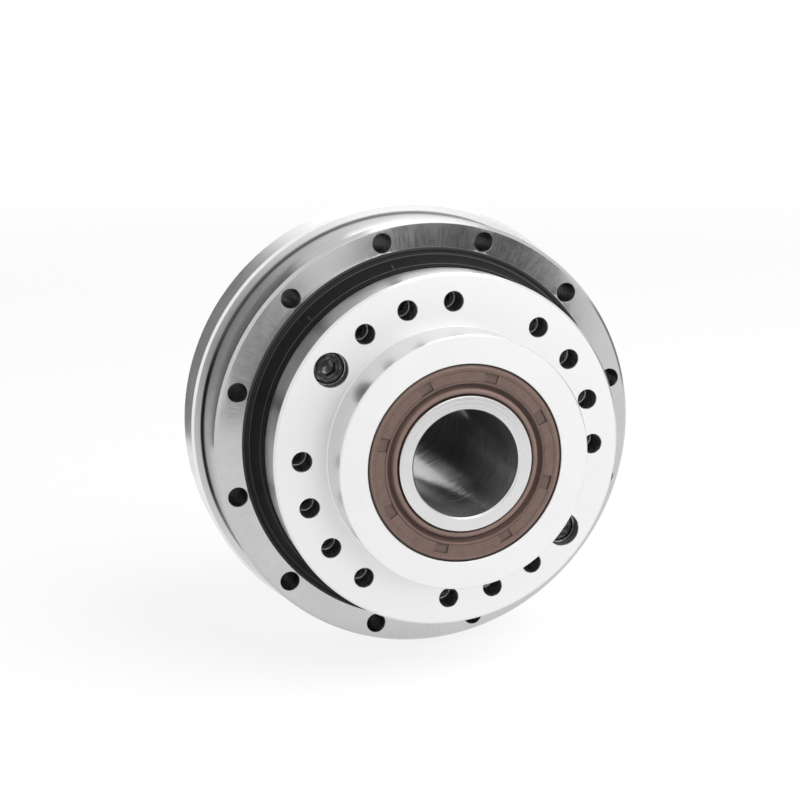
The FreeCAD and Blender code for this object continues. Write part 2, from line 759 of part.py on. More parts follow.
def make_seals():
    front_face = boss_front - seal_face_recess
    front_deep = front_face - front_web - seal_back_gap
    front = oil_seal(shaft_front, front_seal_seat, front_face, front_deep, 1)
    write("front_oil_seal", front.cut(seal_marks(front_seal_seat, front_face)))
    write("front_seal_spring", seal_spring(shaft_front, front_face, front_deep, 1))
    rear_face = rear_boss_back + seal_face_recess
    rear_deep = rear_web - seal_back_gap - rear_face
    write("rear_oil_seal", oil_seal(rear_seat, rear_seal_seat, rear_face, rear_deep, -1))
    write("rear_seal_spring", seal_spring(rear_seat, rear_face, rear_deep, -1))


os.makedirs("parts", exist_ok=True)
make_flexspline()
make_circular_spline()
make_output_flange()
make_main_bearing()
make_rollers()
make_main_seal()
make_rear_flange()
make_shaft()
make_wave_bearing()
make_shaft_bearing("front_bearing", front_seat, front_bearing_back, front_ball_count)
make_shaft_bearing("rear_bearing", rear_seat, rear_bearing_back, rear_ball_count)
make_seals()
make_screws()
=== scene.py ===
# %% [markdown]
# # A strain wave gearbox with a hollow shaft
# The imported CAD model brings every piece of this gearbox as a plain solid: the bearing ring with its
# bolt holes, the output cover, the hollow shaft, the seals, and the gears and bearings inside.
# This lesson keeps those solids as a fixed frame. It makes the pieces that the eye meets once more,
# with broken edges, cut threads and moulded lines, and it gives every surface a finish of its own.

# %% Load the frame
import math

import bmesh
import bpy
from mathutils import Matrix, Vector


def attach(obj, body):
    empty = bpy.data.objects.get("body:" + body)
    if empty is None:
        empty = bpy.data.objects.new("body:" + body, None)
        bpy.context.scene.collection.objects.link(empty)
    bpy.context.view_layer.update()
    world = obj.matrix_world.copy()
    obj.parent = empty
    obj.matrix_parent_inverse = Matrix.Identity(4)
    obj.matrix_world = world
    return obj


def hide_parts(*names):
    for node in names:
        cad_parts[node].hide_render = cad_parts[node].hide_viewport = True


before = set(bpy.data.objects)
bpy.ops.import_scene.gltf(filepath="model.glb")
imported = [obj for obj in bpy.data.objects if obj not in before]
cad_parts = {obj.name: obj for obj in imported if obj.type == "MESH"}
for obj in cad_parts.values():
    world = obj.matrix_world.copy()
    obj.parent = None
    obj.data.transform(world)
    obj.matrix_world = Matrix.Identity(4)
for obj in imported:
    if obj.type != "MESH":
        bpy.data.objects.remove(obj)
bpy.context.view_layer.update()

MM = 0.001

# %% [markdown]
# ## One axis for everything
# Nearly all of this gearbox comes off a lathe, so one axis serves every piece. A place is given by
# three numbers: its radius, its angle as seen from the front (0 to the right, 90 up), and how far it
# stands forward of the bearing ring's front face. All three are easier to read off a drawing than
# X, Y and Z, and one small function turns them into a point of the scene.

# %% A place on the gearbox
FORWARD = Vector((0, -1, 0))


def spot(radius, degrees, forward):
    """The point at a radius and an angle about the axis, and a distance forward, in mm and degrees."""
    angle = math.radians(degrees)
    return Vector((radius * math.cos(angle), -forward, radius * math.sin(angle))) * MM


print("Top of the ring's front edge:", [round(c, 4) for c in spot(40, 90, 0)])

# %% [markdown]
# ## The camera
# The photographed gearbox stands on its rim and is seen from the front, a little from the left and
# from above. The circles of its rims and holes fix the view: a camera placed by eye would miss by
# several pixels, so the angles, the distance and the lens were solved from those circles, and are
# written here as they came out. The lens follows from the focal length in pixels and the image side.

# %% Camera
image_side = 800
sensor_width = 36
focal_pixels = 1488.9
view_azimuth = math.radians(-16.42)
view_elevation = math.radians(12.353)
view_distance = 275.745
axis_right_of_middle = 5.372
axis_above_middle = -6.637


def into_scene(name, data):
    """A new object of the scene that shows a camera, a lamp or a mesh."""
    thing = bpy.data.objects.new(name, data)
    bpy.context.scene.collection.objects.link(thing)
    return thing


view_back = Vector((math.sin(view_azimuth) * math.cos(view_elevation),
                    -math.cos(view_azimuth) * math.cos(view_elevation), math.sin(view_elevation)))
view_right = Vector((math.cos(view_azimuth), math.sin(view_azimuth), 0))
view_up = view_back.cross(view_right)
camera = into_scene("photo_camera", bpy.data.cameras.new("photo_camera"))
camera.data.sensor_width = sensor_width
camera.data.lens = sensor_width * focal_pixels / image_side
camera.data.clip_start = 0.01
camera.data.clip_end = 20
stand = view_back * view_distance - view_right * axis_right_of_middle - view_up * axis_above_middle
turned_to_view = Matrix((view_right, view_up, view_back)).transposed().to_4x4()
camera.matrix_world = Matrix.Translation(stand * MM) @ turned_to_view
bpy.context.scene.camera = camera
bpy.context.scene.view_settings.view_transform = "Standard"
print("Lens in mm:", round(camera.data.lens, 2), "camera at", [round(c, 4) for c in stand * MM])

# %% [markdown]
# ## Shader sums written as Python sums
# A finish is a net of nodes, and most of them are plain arithmetic. Clicking them together is fine
# for one material, but a dozen finishes that share the same ideas are easier to read as sums. The
# class below holds one output of a node. Adding or multiplying it adds a Math node, and any other
# node is made by its node method, which takes the node's type, its settings and its inputs.

# %% A wire between shader nodes
class Wire:
    """One output of a shader node. Arithmetic on it adds Math nodes to its tree."""

    def __init__(self, tree, socket=None):
        self.tree = tree
        self.socket = socket

    def node(self, kind, settings=None, inputs=None, output=0):
        made = self.tree.nodes.new(kind)
        for name, value in (settings or {}).items():
            setattr(made, name, value)
        for name, value in (inputs or {}).items():
            if isinstance(value, Wire):
                self.tree.links.new(value.socket, made.inputs[name])
            else:
                made.inputs[name].default_value = value
        return Wire(self.tree, made.outputs[output])

    def maths(self, operation, *values):
        return self.node("ShaderNodeMath", {"operation": operation}, dict(enumerate(values)))

    def __add__(self, other):
        return self.maths("ADD", self, other)

    def __radd__(self, other):
        return self.maths("ADD", other, self)

    def __sub__(self, other):
        return self.maths("SUBTRACT", self, other)

    def __rsub__(self, other):
        return self.maths("SUBTRACT", other, self)

    def __mul__(self, other):
        return self.maths("MULTIPLY", self, other)

    def __truediv__(self, other):
        return self.maths("DIVIDE", self, other)


print("Wires can be added, subtracted, multiplied and divided")

# %% [markdown]
# ## Small helpers for finishes
# Every finish starts from a Principled shader. Numbers that are the same all over a surface are set
# on its own sockets. What changes from place to place is wired in: mostly the colour, the roughness
# and the shading normal. A soft step turns a distance into a mask, and noise gives clouds, grain
# and lines.

# %% New finish, mask, noise and colour mix
def new_finish(name, **fixed):
    """A material with a Principled shader whose fixed sockets are set, and a wire to start from."""
    material = bpy.data.materials.new(name)
    material.use_nodes = True
    shader = material.node_tree.nodes["Principled BSDF"]
    for socket, value in fixed.items():
        shader.inputs[socket.replace("_", " ")].default_value = value
    return material, Wire(material.node_tree)


def wire_in(material, **wires):
    """Joins wires to the sockets of the material's Principled shader."""
    shader = material.node_tree.nodes["Principled BSDF"]
    for socket, wire in wires.items():
        material.node_tree.links.new(wire.socket, shader.inputs[socket.replace("_", " ")])


def soft_step(wire, low, high):
    """0 below low, 1 above high, and a soft rise between them."""
    return wire.node("ShaderNodeMapRange", {"interpolation_type": "SMOOTHSTEP"},
                     {"Value": wire, "From Min": low, "From Max": high, "To Min": 0.0, "To Max": 1.0})


def between(wire, low, high, soft):
    """1 between two values, 0 outside them."""
    return soft_step(wire, low - soft, low + soft) * (1 - soft_step(wire, high - soft, high + soft))


def noise(start, place, size, detail=2.0, dimensions="3D"):
    """Noise around 0.5 whose features are about size across, in the units of place."""
    return start.node("ShaderNodeTexNoise", {"noise_dimensions": dimensions},
                      {"Vector": place, "Scale": 1 / size, "Detail": detail})


def mixed(factor, first, second):
    """A colour between two others. On a Mix node, sockets 6 and 7 are the colours and 2 the result."""
    return factor.node("ShaderNodeMix", {"data_type": "RGBA"}, {0: factor, 6: first, 7: second}, output=2)


def grey(level, warmth=0.0):
    """A grey colour, leaning to yellow by warmth."""
    return (level * (1 + warmth), level, level * (1 - warmth), 1)


print("Helpers: new_finish, wire_in, soft_step, between, noise, mixed, grey")

# %% [markdown]
# ## Lathe lines
# A turning tool leaves rings round the axis that are finer than a hair. They are too small to model,
# yet they are why a turned face shows light fans and soft streaks: across the rings the surface
# leans in and out, along them it doesn't. So the shading normal is tipped across the rings by fine
# noise that depends only on the radius and the forward distance. The shader has an anisotropy
# socket too, but the lean also carries over to a baked normal map.

# %% Place on the lathe, and the leaning normal
def lathe_place(start):
    """Object coordinates, with the radius and the forward distance in mm and the angle in radians."""
    place = start.node("ShaderNodeTexCoord", output="Object")
    x, y, z = [start.node("ShaderNodeSeparateXYZ", inputs={0: place}, output=i) for i in range(3)]
    squares = x * x + z * z
    radius = squares.maths("SQRT", squares) / MM
    return place, radius, y / -MM, z.maths("ARCTAN2", z, x)


def vector_maths(start, operation, *values):
    """A Vector Math node on vectors, or on a vector and a number."""
    return start.node("ShaderNodeVectorMath", {"operation": operation}, dict(enumerate(values)))


def lathe_lines(start, radius, forward, width):
    """Noise that runs in rings round the axis; width is that of a ring, in mm."""
    section = start.node("ShaderNodeCombineXYZ", inputs={0: radius, 1: forward})
    return noise(start, section, width, 1.0, "2D")


def lathe_normal(start, lines, lean):
    """The surface's normal, tipped to and fro across the lathe's rings."""
    place = start.node("ShaderNodeTexCoord", output="Object")
    normal = start.node("ShaderNodeTexCoord", output="Normal")
    along = vector_maths(start, "NORMALIZE", vector_maths(start, "CROSS_PRODUCT", place, FORWARD))
    across = vector_maths(start, "CROSS_PRODUCT", along, normal)
    tipped = vector_maths(start, "MULTIPLY_ADD", across, (lines - 0.5) * lean, normal)
    return start.node("ShaderNodeVectorTransform",
                      {"vector_type": "NORMAL", "convert_from": "OBJECT", "convert_to": "WORLD"},
                      {0: vector_maths(start, "NORMALIZE", tipped)})


print("Lathe lines run round", list(FORWARD))

# %% [markdown]
# ## Bare turned metal
# The bearing ring, the rear flange, the output cover, the shaft and the gears are all bare metal off
# a lathe or a grinder. They differ in tone, in how fine the lines are and in how much the blasting
# or grinding has evened them out. One recipe with those numbers serves them all: clouds from oil and
# handling move the tone and the roughness a little, and the lathe's lines tip the normal.

# %% Turned metal
def faces_forward(start, low=0.6, high=0.9):
    """1 on faces that look along the axis, 0 on the turned sides. Chamfers lie halfway, at 0.5."""
    normal = start.node("ShaderNodeTexCoord", output="Normal")
    lean = start.node("ShaderNodeSeparateXYZ", inputs={0: normal}, output=1)
    return soft_step(lean * lean, low, high)


def turned_metal(name, dark, light, rough, line, lean, side_rough=0.0, side_lean=0.0, side_shade=0.0,
                 painted_metal_shade=None):
    """Bare turned metal between two tones. rough and lean hold for faces across the axis; the turned
    sides have side_rough and side_lean, or the same, and side_shade darkens them as painted shade.
    The last argument, if given, makes a mask of more painted shade from the radius, the forward
    distance and the angle."""
    material, start = new_finish(name, Metallic=1.0)
    place, radius, forward, angle = lathe_place(start)
    clouds = noise(start, place, 9 * MM, 3.0) - 0.5
    smears = noise(start, place, 1.5 * MM, 2.0) - 0.5
    lines = lathe_lines(start, radius, forward, line)
    face = faces_forward(start)
    side_rough, side_lean = side_rough or rough, side_lean or lean
    tone = soft_step(0.5 + clouds * 0.5 + smears * 0.2 + (lines - 0.5) * 0.5, 0.0, 1.0)
    # Turned sides are darkened towards black by side_shade: painted shade.
    colour = mixed((1 - face) * side_shade, mixed(tone, dark, light), grey(0.0))
    if painted_metal_shade:
        colour = mixed(painted_metal_shade(radius, forward, angle), colour, painted_shade_black)
    wire_in(material, Base_Color=colour,
            Roughness=side_rough + face * (rough - side_rough) + clouds * 0.16 + smears * 0.06,
            Normal=lathe_normal(start, lines, side_lean + face * (lean - side_lean)))
    return material


# A near black for painted shade in the joint and the corner between the ring and the flange.
painted_shade_black = grey(0.03)
ring_radius = 40.0
ring_back = -13.4
shade_width = 0.5
shade_all_round = 0.6
shade_more_on_left = 0.36
left_from = math.radians(150)
left_to = math.radians(166)


def flange_corner_shade(radius, forward, angle):
    """Painted shade in the corner where the flange's front face meets the ring, heavier on the left."""
    corner = 1 - soft_step(radius, ring_radius + shade_width / 2, ring_radius + shade_width)
    front = soft_step(forward, ring_back - 0.6, ring_back - 0.2)
    left = soft_step(angle * angle, left_from ** 2, left_to ** 2)
    return corner * front * (shade_all_round + left * shade_more_on_left)


flange_turned_steel = turned_metal(
    "flange_turned_steel", dark=grey(0.78), light=grey(0.89), rough=0.42, line=0.12, lean=0.20,
    side_rough=0.30, side_lean=0.12, painted_metal_shade=flange_corner_shade)
# The cover's turned sides take side_shade: painted shade, a little darker than its face.
cover_turned_aluminium = turned_metal(
    "cover_turned_aluminium", dark=grey(0.855), light=grey(0.925), rough=0.54, line=0.10, lean=0.16,
    side_rough=0.32, side_lean=0.12, side_shade=0.14)
gear_hobbed_steel = turned_metal(
    "gear_hobbed_steel", dark=grey(0.30, 0.02), light=grey(0.42, 0.02), rough=0.34, line=0.20, lean=0.25)
race_ground_steel = turned_metal(
    "race_ground_steel", dark=grey(0.48), light=grey(0.58), rough=0.16, line=0.06, lean=0.12)
spring_wire_steel = turned_metal(
    "spring_wire_steel", dark=grey(0.26, 0.03), light=grey(0.36, 0.03), rough=0.32, line=0.08, lean=0.20)
print("Turned metals:", flange_turned_steel.name, cover_turned_aluminium.name, "and three for the inside")

# %% [markdown]
# ## The ring's ground face
# The bearing ring is hardened, so its front face is ground and not turned. The wheel sweeps across
# it and leaves short straight streaks that run outwards, crossed by a few longer rubs. They tip the
# surface sideways, along the rim, and give the face its soft light and dark sectors. Its outside is
# turned like the rest and painted darker than the face, as shade. A dark band of painted shade runs
# along the joint with the flange behind it, and more painted shade darkens the outside on the left.

# %% Ground ring steel
back_chamfer = 0.4
joint_line = ring_back + back_chamfer
ring_bolt_circle = 37.0
streak_width = 0.14
streak_length = 3.5
left_shade_from = math.radians(131)
left_shade_to = math.radians(170)
left_shade_edge = -4.5

ring_ground_steel, start = new_finish("ring_ground_steel", Metallic=1.0)
place, radius, forward, angle = lathe_place(start)
face = faces_forward(start)
side = 1 - faces_forward(start, 0.1, 0.4)
clouds = noise(start, place, 8 * MM, 3.0) - 0.5
smears = noise(start, place, 1.4 * MM, 3.0) - 0.5
along_rim = angle * (ring_bolt_circle / streak_width)
sweep = start.node("ShaderNodeCombineXYZ", inputs={0: along_rim, 1: radius / streak_length})
streaks = noise(start, sweep, 1.0, 2.0, "2D") - 0.5
lines = lathe_lines(start, radius, forward, 0.10)
tone = soft_step(0.5 + clouds * 0.6 + smears * 0.3 + face * streaks * 0.5, 0.0, 1.0)
# The turned outside is darkened by a fixed share, as painted shade; the faces and the chamfers are not.
steel = mixed(side * 0.38, mixed(tone, grey(0.49), grey(0.60)), grey(0.0))
# A dark band of painted shade along the joint with the flange, and more painted shade on the outside
# between 131 and 170 degrees, towards the back.
joint_shade = 1 - soft_step(forward, joint_line + 0.1, joint_line + 0.8)
left_shade = between(angle + clouds * 0.25, left_shade_from, left_shade_to, 0.12)
left_shade = left_shade * (1 - soft_step(forward + smears * 2, left_shade_edge - 1.5, left_shade_edge + 1.5))
painted_metal_shade = joint_shade + (1 - joint_shade) * left_shade * 0.5
wire_in(ring_ground_steel, Base_Color=mixed(painted_metal_shade * (1 - face), steel, painted_shade_black),
        Roughness=0.17 - face * 0.03 + clouds * 0.08 + smears * 0.06 + face * streaks * 0.08,
        Normal=lathe_normal(start, lines, 0.08 - face * 0.05))
print("Ground steel with streaks", streak_width, "mm wide")

# %% [markdown]
# ## The shaft's two faces
# The hollow shaft is ground bright on its outside and on its end, but the bore was only drilled and
# reamed. It looks like dark graphite: its dark tone is partly oil and the marks of the reamer, partly
# painted shade. One material serves the whole piece, and the radius tells the bore from the rest. In
# the bore the metal is painted darker and its film of oil spreads some light, so it is a little less
# metallic there.

# %% Shaft steel
bore_radius = 9.5
bore_edge = bore_radius + 0.08

shaft_ground_steel, start = new_finish("shaft_ground_steel", Metallic=1.0)
place, radius, forward, _ = lathe_place(start)
in_bore = 1 - soft_step(radius, bore_edge - 0.06, bore_edge)
clouds = noise(start, place, 7 * MM, 3.0) - 0.5
lines = lathe_lines(start, radius, forward, 0.10)
outside_tone = mixed(soft_step(0.5 + clouds * 0.7 + (lines - 0.5) * 0.5, 0.0, 1.0), grey(0.66), grey(0.78))
# The bore's dark tone is partly oil and reamer marks, partly painted shade.
bore_tone_and_shade = mixed(soft_step(0.5 + clouds + (lines - 0.5) * 0.6, 0.0, 1.0), grey(0.16), grey(0.30))
wire_in(shaft_ground_steel, Base_Color=mixed(in_bore, outside_tone, bore_tone_and_shade),
        Metallic=1 - in_bore * 0.4,
        Roughness=0.24 - in_bore * 0.07 + clouds * 0.10,
        Normal=lathe_normal(start, lines, 0.26 + in_bore * 0.30))
print("Shaft steel, dark below a radius of", bore_edge, "mm")

# %% [markdown]
# ## Walls of the drilled holes
# The photograph shows the holes nearly black, with only a thin light rim and a few dull glints: they
# are deep, oily and rough from the drill. Their walls have a finish of their own, darker than bare
# steel: partly oil, partly painted shade. A finish of their own is simpler than a mask. The drill's
# rings are noise that is stretched across the axis. The holes of the bearing ring, which lie farthest
# out, get more painted shade.

# %% Drilled wall
ring_holes_outside = 34.0

shaded_drilled_wall, start = new_finish("shaded_drilled_wall", Metallic=1.0)
place, radius, _, _ = lathe_place(start)
mottle = soft_step(noise(start, place, 0.45 * MM, 3.0), 0.38, 0.62)
stretched = vector_maths(start, "MULTIPLY", place, (0.12, 1, 0.12))
rings = soft_step(noise(start, stretched, 0.22 * MM, 2.0), 0.40, 0.60)
# The walls are darker than bare steel: partly oil and drill marks, partly painted shade. The bearing ring's
# holes get more painted shade.
shaded_wall = mixed(mottle * 0.45 + rings * 0.55, grey(0.10), grey(0.52))
ring_hole_shade = soft_step(radius, ring_holes_outside - 0.5, ring_holes_outside + 0.5)
wire_in(shaded_drilled_wall, Base_Color=mixed(ring_hole_shade * 0.1, shaded_wall, grey(0.02)),
        Roughness=0.34 + mottle * 0.16)
print("Drilled walls:", shaded_drilled_wall.name)

# %% [markdown]
# ## Black oxide screws
# The cap screws are blackened: an oxide skin a thousandth of a millimetre thick over steel. It is
# not a paint. It is satin, nearly neutral, and rubbed towards bare metal where it has been handled.

# %% Black oxide
screw_black_oxide, start = new_finish("screw_black_oxide", Metallic=1.0)
place = start.node("ShaderNodeTexCoord", output="Object")
rubbed = soft_step(noise(start, place, 0.8 * MM, 4.0), 0.48, 0.70)
grain = noise(start, place, 0.15 * MM, 2.0)
bump = start.node("ShaderNodeBump", inputs={"Strength": 0.2, "Distance": 0.02 * MM, "Height": grain})
wire_in(screw_black_oxide, Base_Color=mixed(rubbed, grey(0.055), grey(0.15)),
        Roughness=0.36 - rubbed * 0.10 + (grain - 0.5) * 0.2, Normal=bump)
print("Screws:", screw_black_oxide.name)

# %% [markdown]
# ## Rubber for the seals
# Two rubbers are in view: a black nitrile lip seal between the ring and the cover, and a brown
# fluorocarbon seal round the shaft. Moulded rubber keeps the fine rings of its turned mould, gathers
# dust and shines softly. The same recipe makes both. It takes their own colours, and two functions
# that say where shade is painted and where the rubber is painted lighter, as highlights and as wear.

# %% Moulded rubber
def moulded_rubber(name, colours, painted_rubber_shade, highlights_and_wear, rough, gloss):
    """Rubber with four colours: deep and face for its mottling, a near black for painted shade and a
    lighter one for painted highlights and wear. Both masks come from the radius, forward and angle."""
    material, start = new_finish(name, Specular_IOR_Level=gloss)
    place, radius, forward, angle = lathe_place(start)
    mottle = noise(start, place, 1.6 * MM, 4.0) - 0.5
    grain = noise(start, place, 0.35 * MM, 2.0)
    dust = soft_step(grain, 0.66, 0.80)
    lines = lathe_lines(start, radius, forward, 0.14)
    tone = soft_step(0.62 + mottle * 0.6 + (grain - 0.5) * 0.7 + (lines - 0.5) * 0.35, 0.0, 1.0)
    colour = mixed(dust * 0.10, mixed(tone, colours["deep"], colours["face"]), grey(0.30, 0.03))
    # A lighter colour for wear and painted highlights.
    highlit_and_worn = highlights_and_wear(radius, forward, angle)
    colour = mixed(highlit_and_worn, colour, colours["highlit_and_worn"])
    # A near black where shade is painted.
    colour = mixed(painted_rubber_shade(radius, forward, angle), colour, colours["painted_rubber_shade"])
    wire_in(material, Base_Color=colour, Roughness=rough + mottle * 0.2 + dust * 0.2 - highlit_and_worn * 0.12,
            Normal=lathe_normal(start, lines, 0.18))
    return material


def thin_ring(distance, middle, half):
    """1 on a thin ring about a middle value, 0 away from it."""
    away = distance - middle
    return 1 - soft_step(away.maths("ABSOLUTE", away), half * 0.4, half)


brown = {"deep": (0.082, 0.047, 0.038, 1), "face": (0.146, 0.094, 0.076, 1),
         "highlit_and_worn": (0.32, 0.225, 0.19, 1), "painted_rubber_shade": (0.012, 0.005, 0.004, 1)}
black = {"deep": grey(0.007), "face": grey(0.016), "highlit_and_worn": grey(0.075), "painted_rubber_shade": grey(0.001)}
print("Four colours each for the brown and the black rubber:", list(brown))

# %% [markdown]
# ## The brown shaft seals' rubber
# Both shaft seals have the same face: a rim, a sunken band, a rounded gutter and the lip. Shade is
# painted at the rim, on the two steps of the band, in the recesses, in the gutter and in the gap at
# the shaft. The lip is lighter, partly worn and partly painted light, and a thin painted highlight
# rings the middle of the outer flat. All of it is told by the radius and the depth, so the masks are
# worked out from each seal's own shaft, seat and face.

# %% Shaft seal rubber
front_seal = {"shaft": 12.0, "seat": 17.5, "face": 21.3, "facing": 1}
rear_seal = {"shaft": 15.0, "seat": 21.0, "face": -33.2, "facing": -1}
band_outer = 1.29
band_inner = 3.0
outer_flat_middle = 0.6
gutter_inner = 1.40
gutter_outer = 1.95
lip_inner = 0.24
lip_outer = 1.1


def brown_rubber(name, shaft, seat, face, facing):
    """The finish of a shaft seal, with painted shade in its steps, its recesses, its gutter and its gaps.
    """
    def painted_rubber_shade(radius, forward, angle):
        depth = (face - forward) * facing
        # Every mask here is painted shade: at the steps of the band, at the rim, in the recesses, in the
        # gap at the shaft and in the gutter.
        outer_step_shade = thin_ring(radius, seat - band_outer, 0.09) * 0.25
        inner_step_shade = thin_ring(radius, seat - band_inner, 0.10) * 0.6
        rim = soft_step(radius, seat - 0.40, seat - 0.12) * 0.9
        outside_gutter = soft_step(radius, seat - band_inner + 0.05, seat - band_inner + 0.10)
        recess_shade = soft_step(depth, 0.10, 0.34) * outside_gutter * 0.14
        gap_shade = thin_ring(radius, shaft + lip_inner, 0.16) * 0.6
        gutter = between(radius, shaft + gutter_inner, shaft + gutter_outer, 0.18) * 0.60
        return outer_step_shade + inner_step_shade + rim + recess_shade + gap_shade + gutter

    def highlights_and_wear(radius, forward, angle):
        # The lip is lighter, partly worn and partly painted light, and a painted highlight rings the outer
        # flat.
        lip = 1 - soft_step(radius, shaft + lip_outer - 0.15, shaft + lip_outer + 0.15)
        return lip * 0.26 + thin_ring(radius, seat - outer_flat_middle, 0.14) * 0.25

    return moulded_rubber(name, brown, painted_rubber_shade, highlights_and_wear, rough=0.44, gloss=0.45)


shaft_seal_rubber = brown_rubber("shaft_seal_rubber", **front_seal)
rear_seal_rubber = brown_rubber("rear_seal_rubber", **rear_seal)
print("Brown rubbers:", shaft_seal_rubber.name, rear_seal_rubber.name)

# %% [markdown]
# ## The black lip seal's rubber
# The lip seal is nearly black. What shows are thin light rings, painted highlights on the beads and
# the flats of the mould, and two short ticks across the cone, where the mould was parted. Between the
# two grooves of its flat edge a thin ring of painted shade darkens it.

# %% Lip seal rubber
outer_groove = 34.61
inner_groove = 34.23
inner_flat = 34.0
outer_flat = 34.55
root_bead = 0.42
crest_bead = 3.52
tick_angles = [math.radians(103.5), math.radians(134.4)]
tick_half_angle = 0.005
tick_bottom = 1.9
tick_top = 3.2


# Painted shade on a thin ring between the two grooves of the flat edge.
def lip_seal_painted_shade(radius, forward, angle):
    return thin_ring(radius, (outer_groove + inner_groove) / 2, 0.14) * 0.4


# Painted highlights on the beads and the flats, and light ticks where the mould was parted.
def lip_seal_highlights_and_ticks(radius, forward, angle):
    bead_highlights = thin_ring(forward, root_bead, 0.22) * 0.8 + thin_ring(forward, crest_bead, 0.13)
    on_cone = between(forward, tick_bottom, tick_top, 0.1) * 0.8
    first_tick, second_tick = [thin_ring(angle, tick, tick_half_angle) for tick in tick_angles]
    inner, outer = [soft_step(radius, flat - 0.05, flat + 0.05) * 0.35 for flat in (inner_flat, outer_flat)]
    return bead_highlights + (first_tick + second_tick) * on_cone + inner + outer


lip_seal_rubber = moulded_rubber("lip_seal_rubber", black, lip_seal_painted_shade, lip_seal_highlights_and_ticks,
                                 rough=0.46, gloss=0.04)
print("Black rubber:", lip_seal_rubber.name)

# %% [markdown]
# ## Two finishes for the inside
# The bearings inside have pressed steel shields and moulded cages. They show only when the gearbox is
# taken apart, but a library piece is looked at from everywhere, so they get a finish too: rolled
# sheet with a faint grain, and nylon with the soft mottling of short glass fibres.

# %% Shield sheet and cage nylon
shield_rolled_sheet, start = new_finish("shield_rolled_sheet", Metallic=1.0)
place = start.node("ShaderNodeTexCoord", output="Object")
grain = noise(start, vector_maths(start, "MULTIPLY", place, (1, 1, 12)), 1.5 * MM, 3.0)
wire_in(shield_rolled_sheet, Base_Color=mixed(grain, grey(0.36, 0.02), grey(0.50, 0.02)),
        Roughness=0.28 + grain * 0.16)

cage_glass_nylon, start = new_finish("cage_glass_nylon", Specular_IOR_Level=0.5)
place = start.node("ShaderNodeTexCoord", output="Object")
fibres = noise(start, place, 0.25 * MM, 4.0)
wire_in(cage_glass_nylon, Base_Color=mixed(fibres, (0.50, 0.44, 0.32, 1), (0.66, 0.60, 0.47, 1)),
        Roughness=0.40 + fibres * 0.2)
print("Inside:", shield_rolled_sheet.name, cage_glass_nylon.name)

# %% [markdown]
# ## Turning a piece
# A lathe makes a solid by spinning a section about the axis, and so does bmesh: a few corners of the
# half section are joined to a closed line, and the spin operator carries it once round. The corners
# of a real piece are never knife sharp, so the edges are bevelled by a few hundredths of a
# millimetre. Those narrow bands catch the light and draw the bright rims that make metal look real.

# %% Turn and soften
TURN_STEPS = 192
SAME_PLACE = 0.0002


def turn(corners, steps=TURN_STEPS):
    """A closed turned shell from the corners of its half section, as (radius, forward) in mm."""
    shell = bmesh.new()
    dots = [shell.verts.new(spot(radius, 0, forward)) for radius, forward in corners]
    section = [shell.edges.new(pair) for pair in zip(dots, dots[1:] + dots[:1])]
    bmesh.ops.spin(shell, geom=dots + section, cent=(0, 0, 0), axis=FORWARD, dvec=(0, 0, 0),
                   angle=2 * math.pi, steps=steps, use_merge=True)
    bmesh.ops.remove_doubles(shell, verts=shell.verts, dist=SAME_PLACE * MM)
    bmesh.ops.recalc_face_normals(shell, faces=shell.faces)
    return shell


def soften(shell, width, lowest=25):
    """Breaks the edges of a shell that are sharper than lowest, in degrees, by width, in mm."""
    sharp = [edge for edge in shell.edges
             if len(edge.link_faces) == 2 and edge.calc_face_angle() > math.radians(lowest)]
    bmesh.ops.bevel(shell, geom=sharp, offset=width * MM, offset_type="OFFSET", affect="EDGES",
                    segments=2, profile=0.5, material=-1, clamp_overlap=True)


print("Steps round the axis:", TURN_STEPS)

# %% [markdown]
# ## From a shell to a piece
# A shell becomes an object of the scene once it has a mesh and its finishes. Faces that meet at a
# small angle are shaded as one smooth surface, and weighted normals keep a large flat looking flat
# beside its bevels. Each piece is then parented to an empty named for its body of the frame, so that
# it moves with that body, and the CAD nodes that it stands in for are hidden.

# %% Finish a piece
SHARP_FROM = 32


def mesh_of(shell, name):
    """The mesh of a shell. The shell is used up."""
    mesh = bpy.data.meshes.new(name)
    shell.to_mesh(mesh)
    shell.free()
    return mesh


def finish_piece(shell, name, finishes, body, nodes=()):
    """Makes a shell an object of the scene, with its finishes, on a body of the frame."""
    bmesh.ops.recalc_face_normals(shell, faces=shell.faces)
    mesh = mesh_of(shell, name)
    for finish in finishes:
        mesh.materials.append(finish)
    mesh.shade_smooth()
    mesh.set_sharp_from_angle(angle=math.radians(SHARP_FROM))
    piece = into_scene(name, mesh)
    even = piece.modifiers.new("even_shading", "WEIGHTED_NORMAL")
    even.keep_sharp = True
    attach(piece, body)
    if nodes:
        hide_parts(*nodes)
    print(name, "has", len(mesh.polygons), "faces")


print("Edges stay sharp above", SHARP_FROM, "degrees")

# %% [markdown]
# ## Drilling a face
# A spun face is a ring of quads with no room for holes. A boolean cut would work, but it leaves
# ragged triangles. Here the flat ring is taken out, each hole is drawn as a circle and pushed in step
# by step (the broken rim, the bore, a counterbore's seat), and the flat is filled again between the
# rims. That keeps every hole round and lets its wall have a finish of its own.

# %% Open and close a face
LEVEL = 0.001


def from_axis(point):
    """How far a point of a mesh lies from the axis, in mm."""
    return math.hypot(point.x, point.z) / MM


def open_face(shell, forward, inside=0.0, outside=100.0):
    """Takes out the flat face at a forward distance and gives the edges it leaves."""
    flat = []
    for face in shell.faces:
        off_level = max(abs(dot.co.y / MM + forward) for dot in face.verts)
        if off_level < LEVEL and inside < from_axis(face.calc_center_median()) < outside:
            flat.append(face)
    known = set(flat)
    rims = [edge for face in flat for edge in face.edges
            if sum(near in known for near in edge.link_faces) == 1]
    bmesh.ops.delete(shell, geom=flat, context="FACES")
    return rims


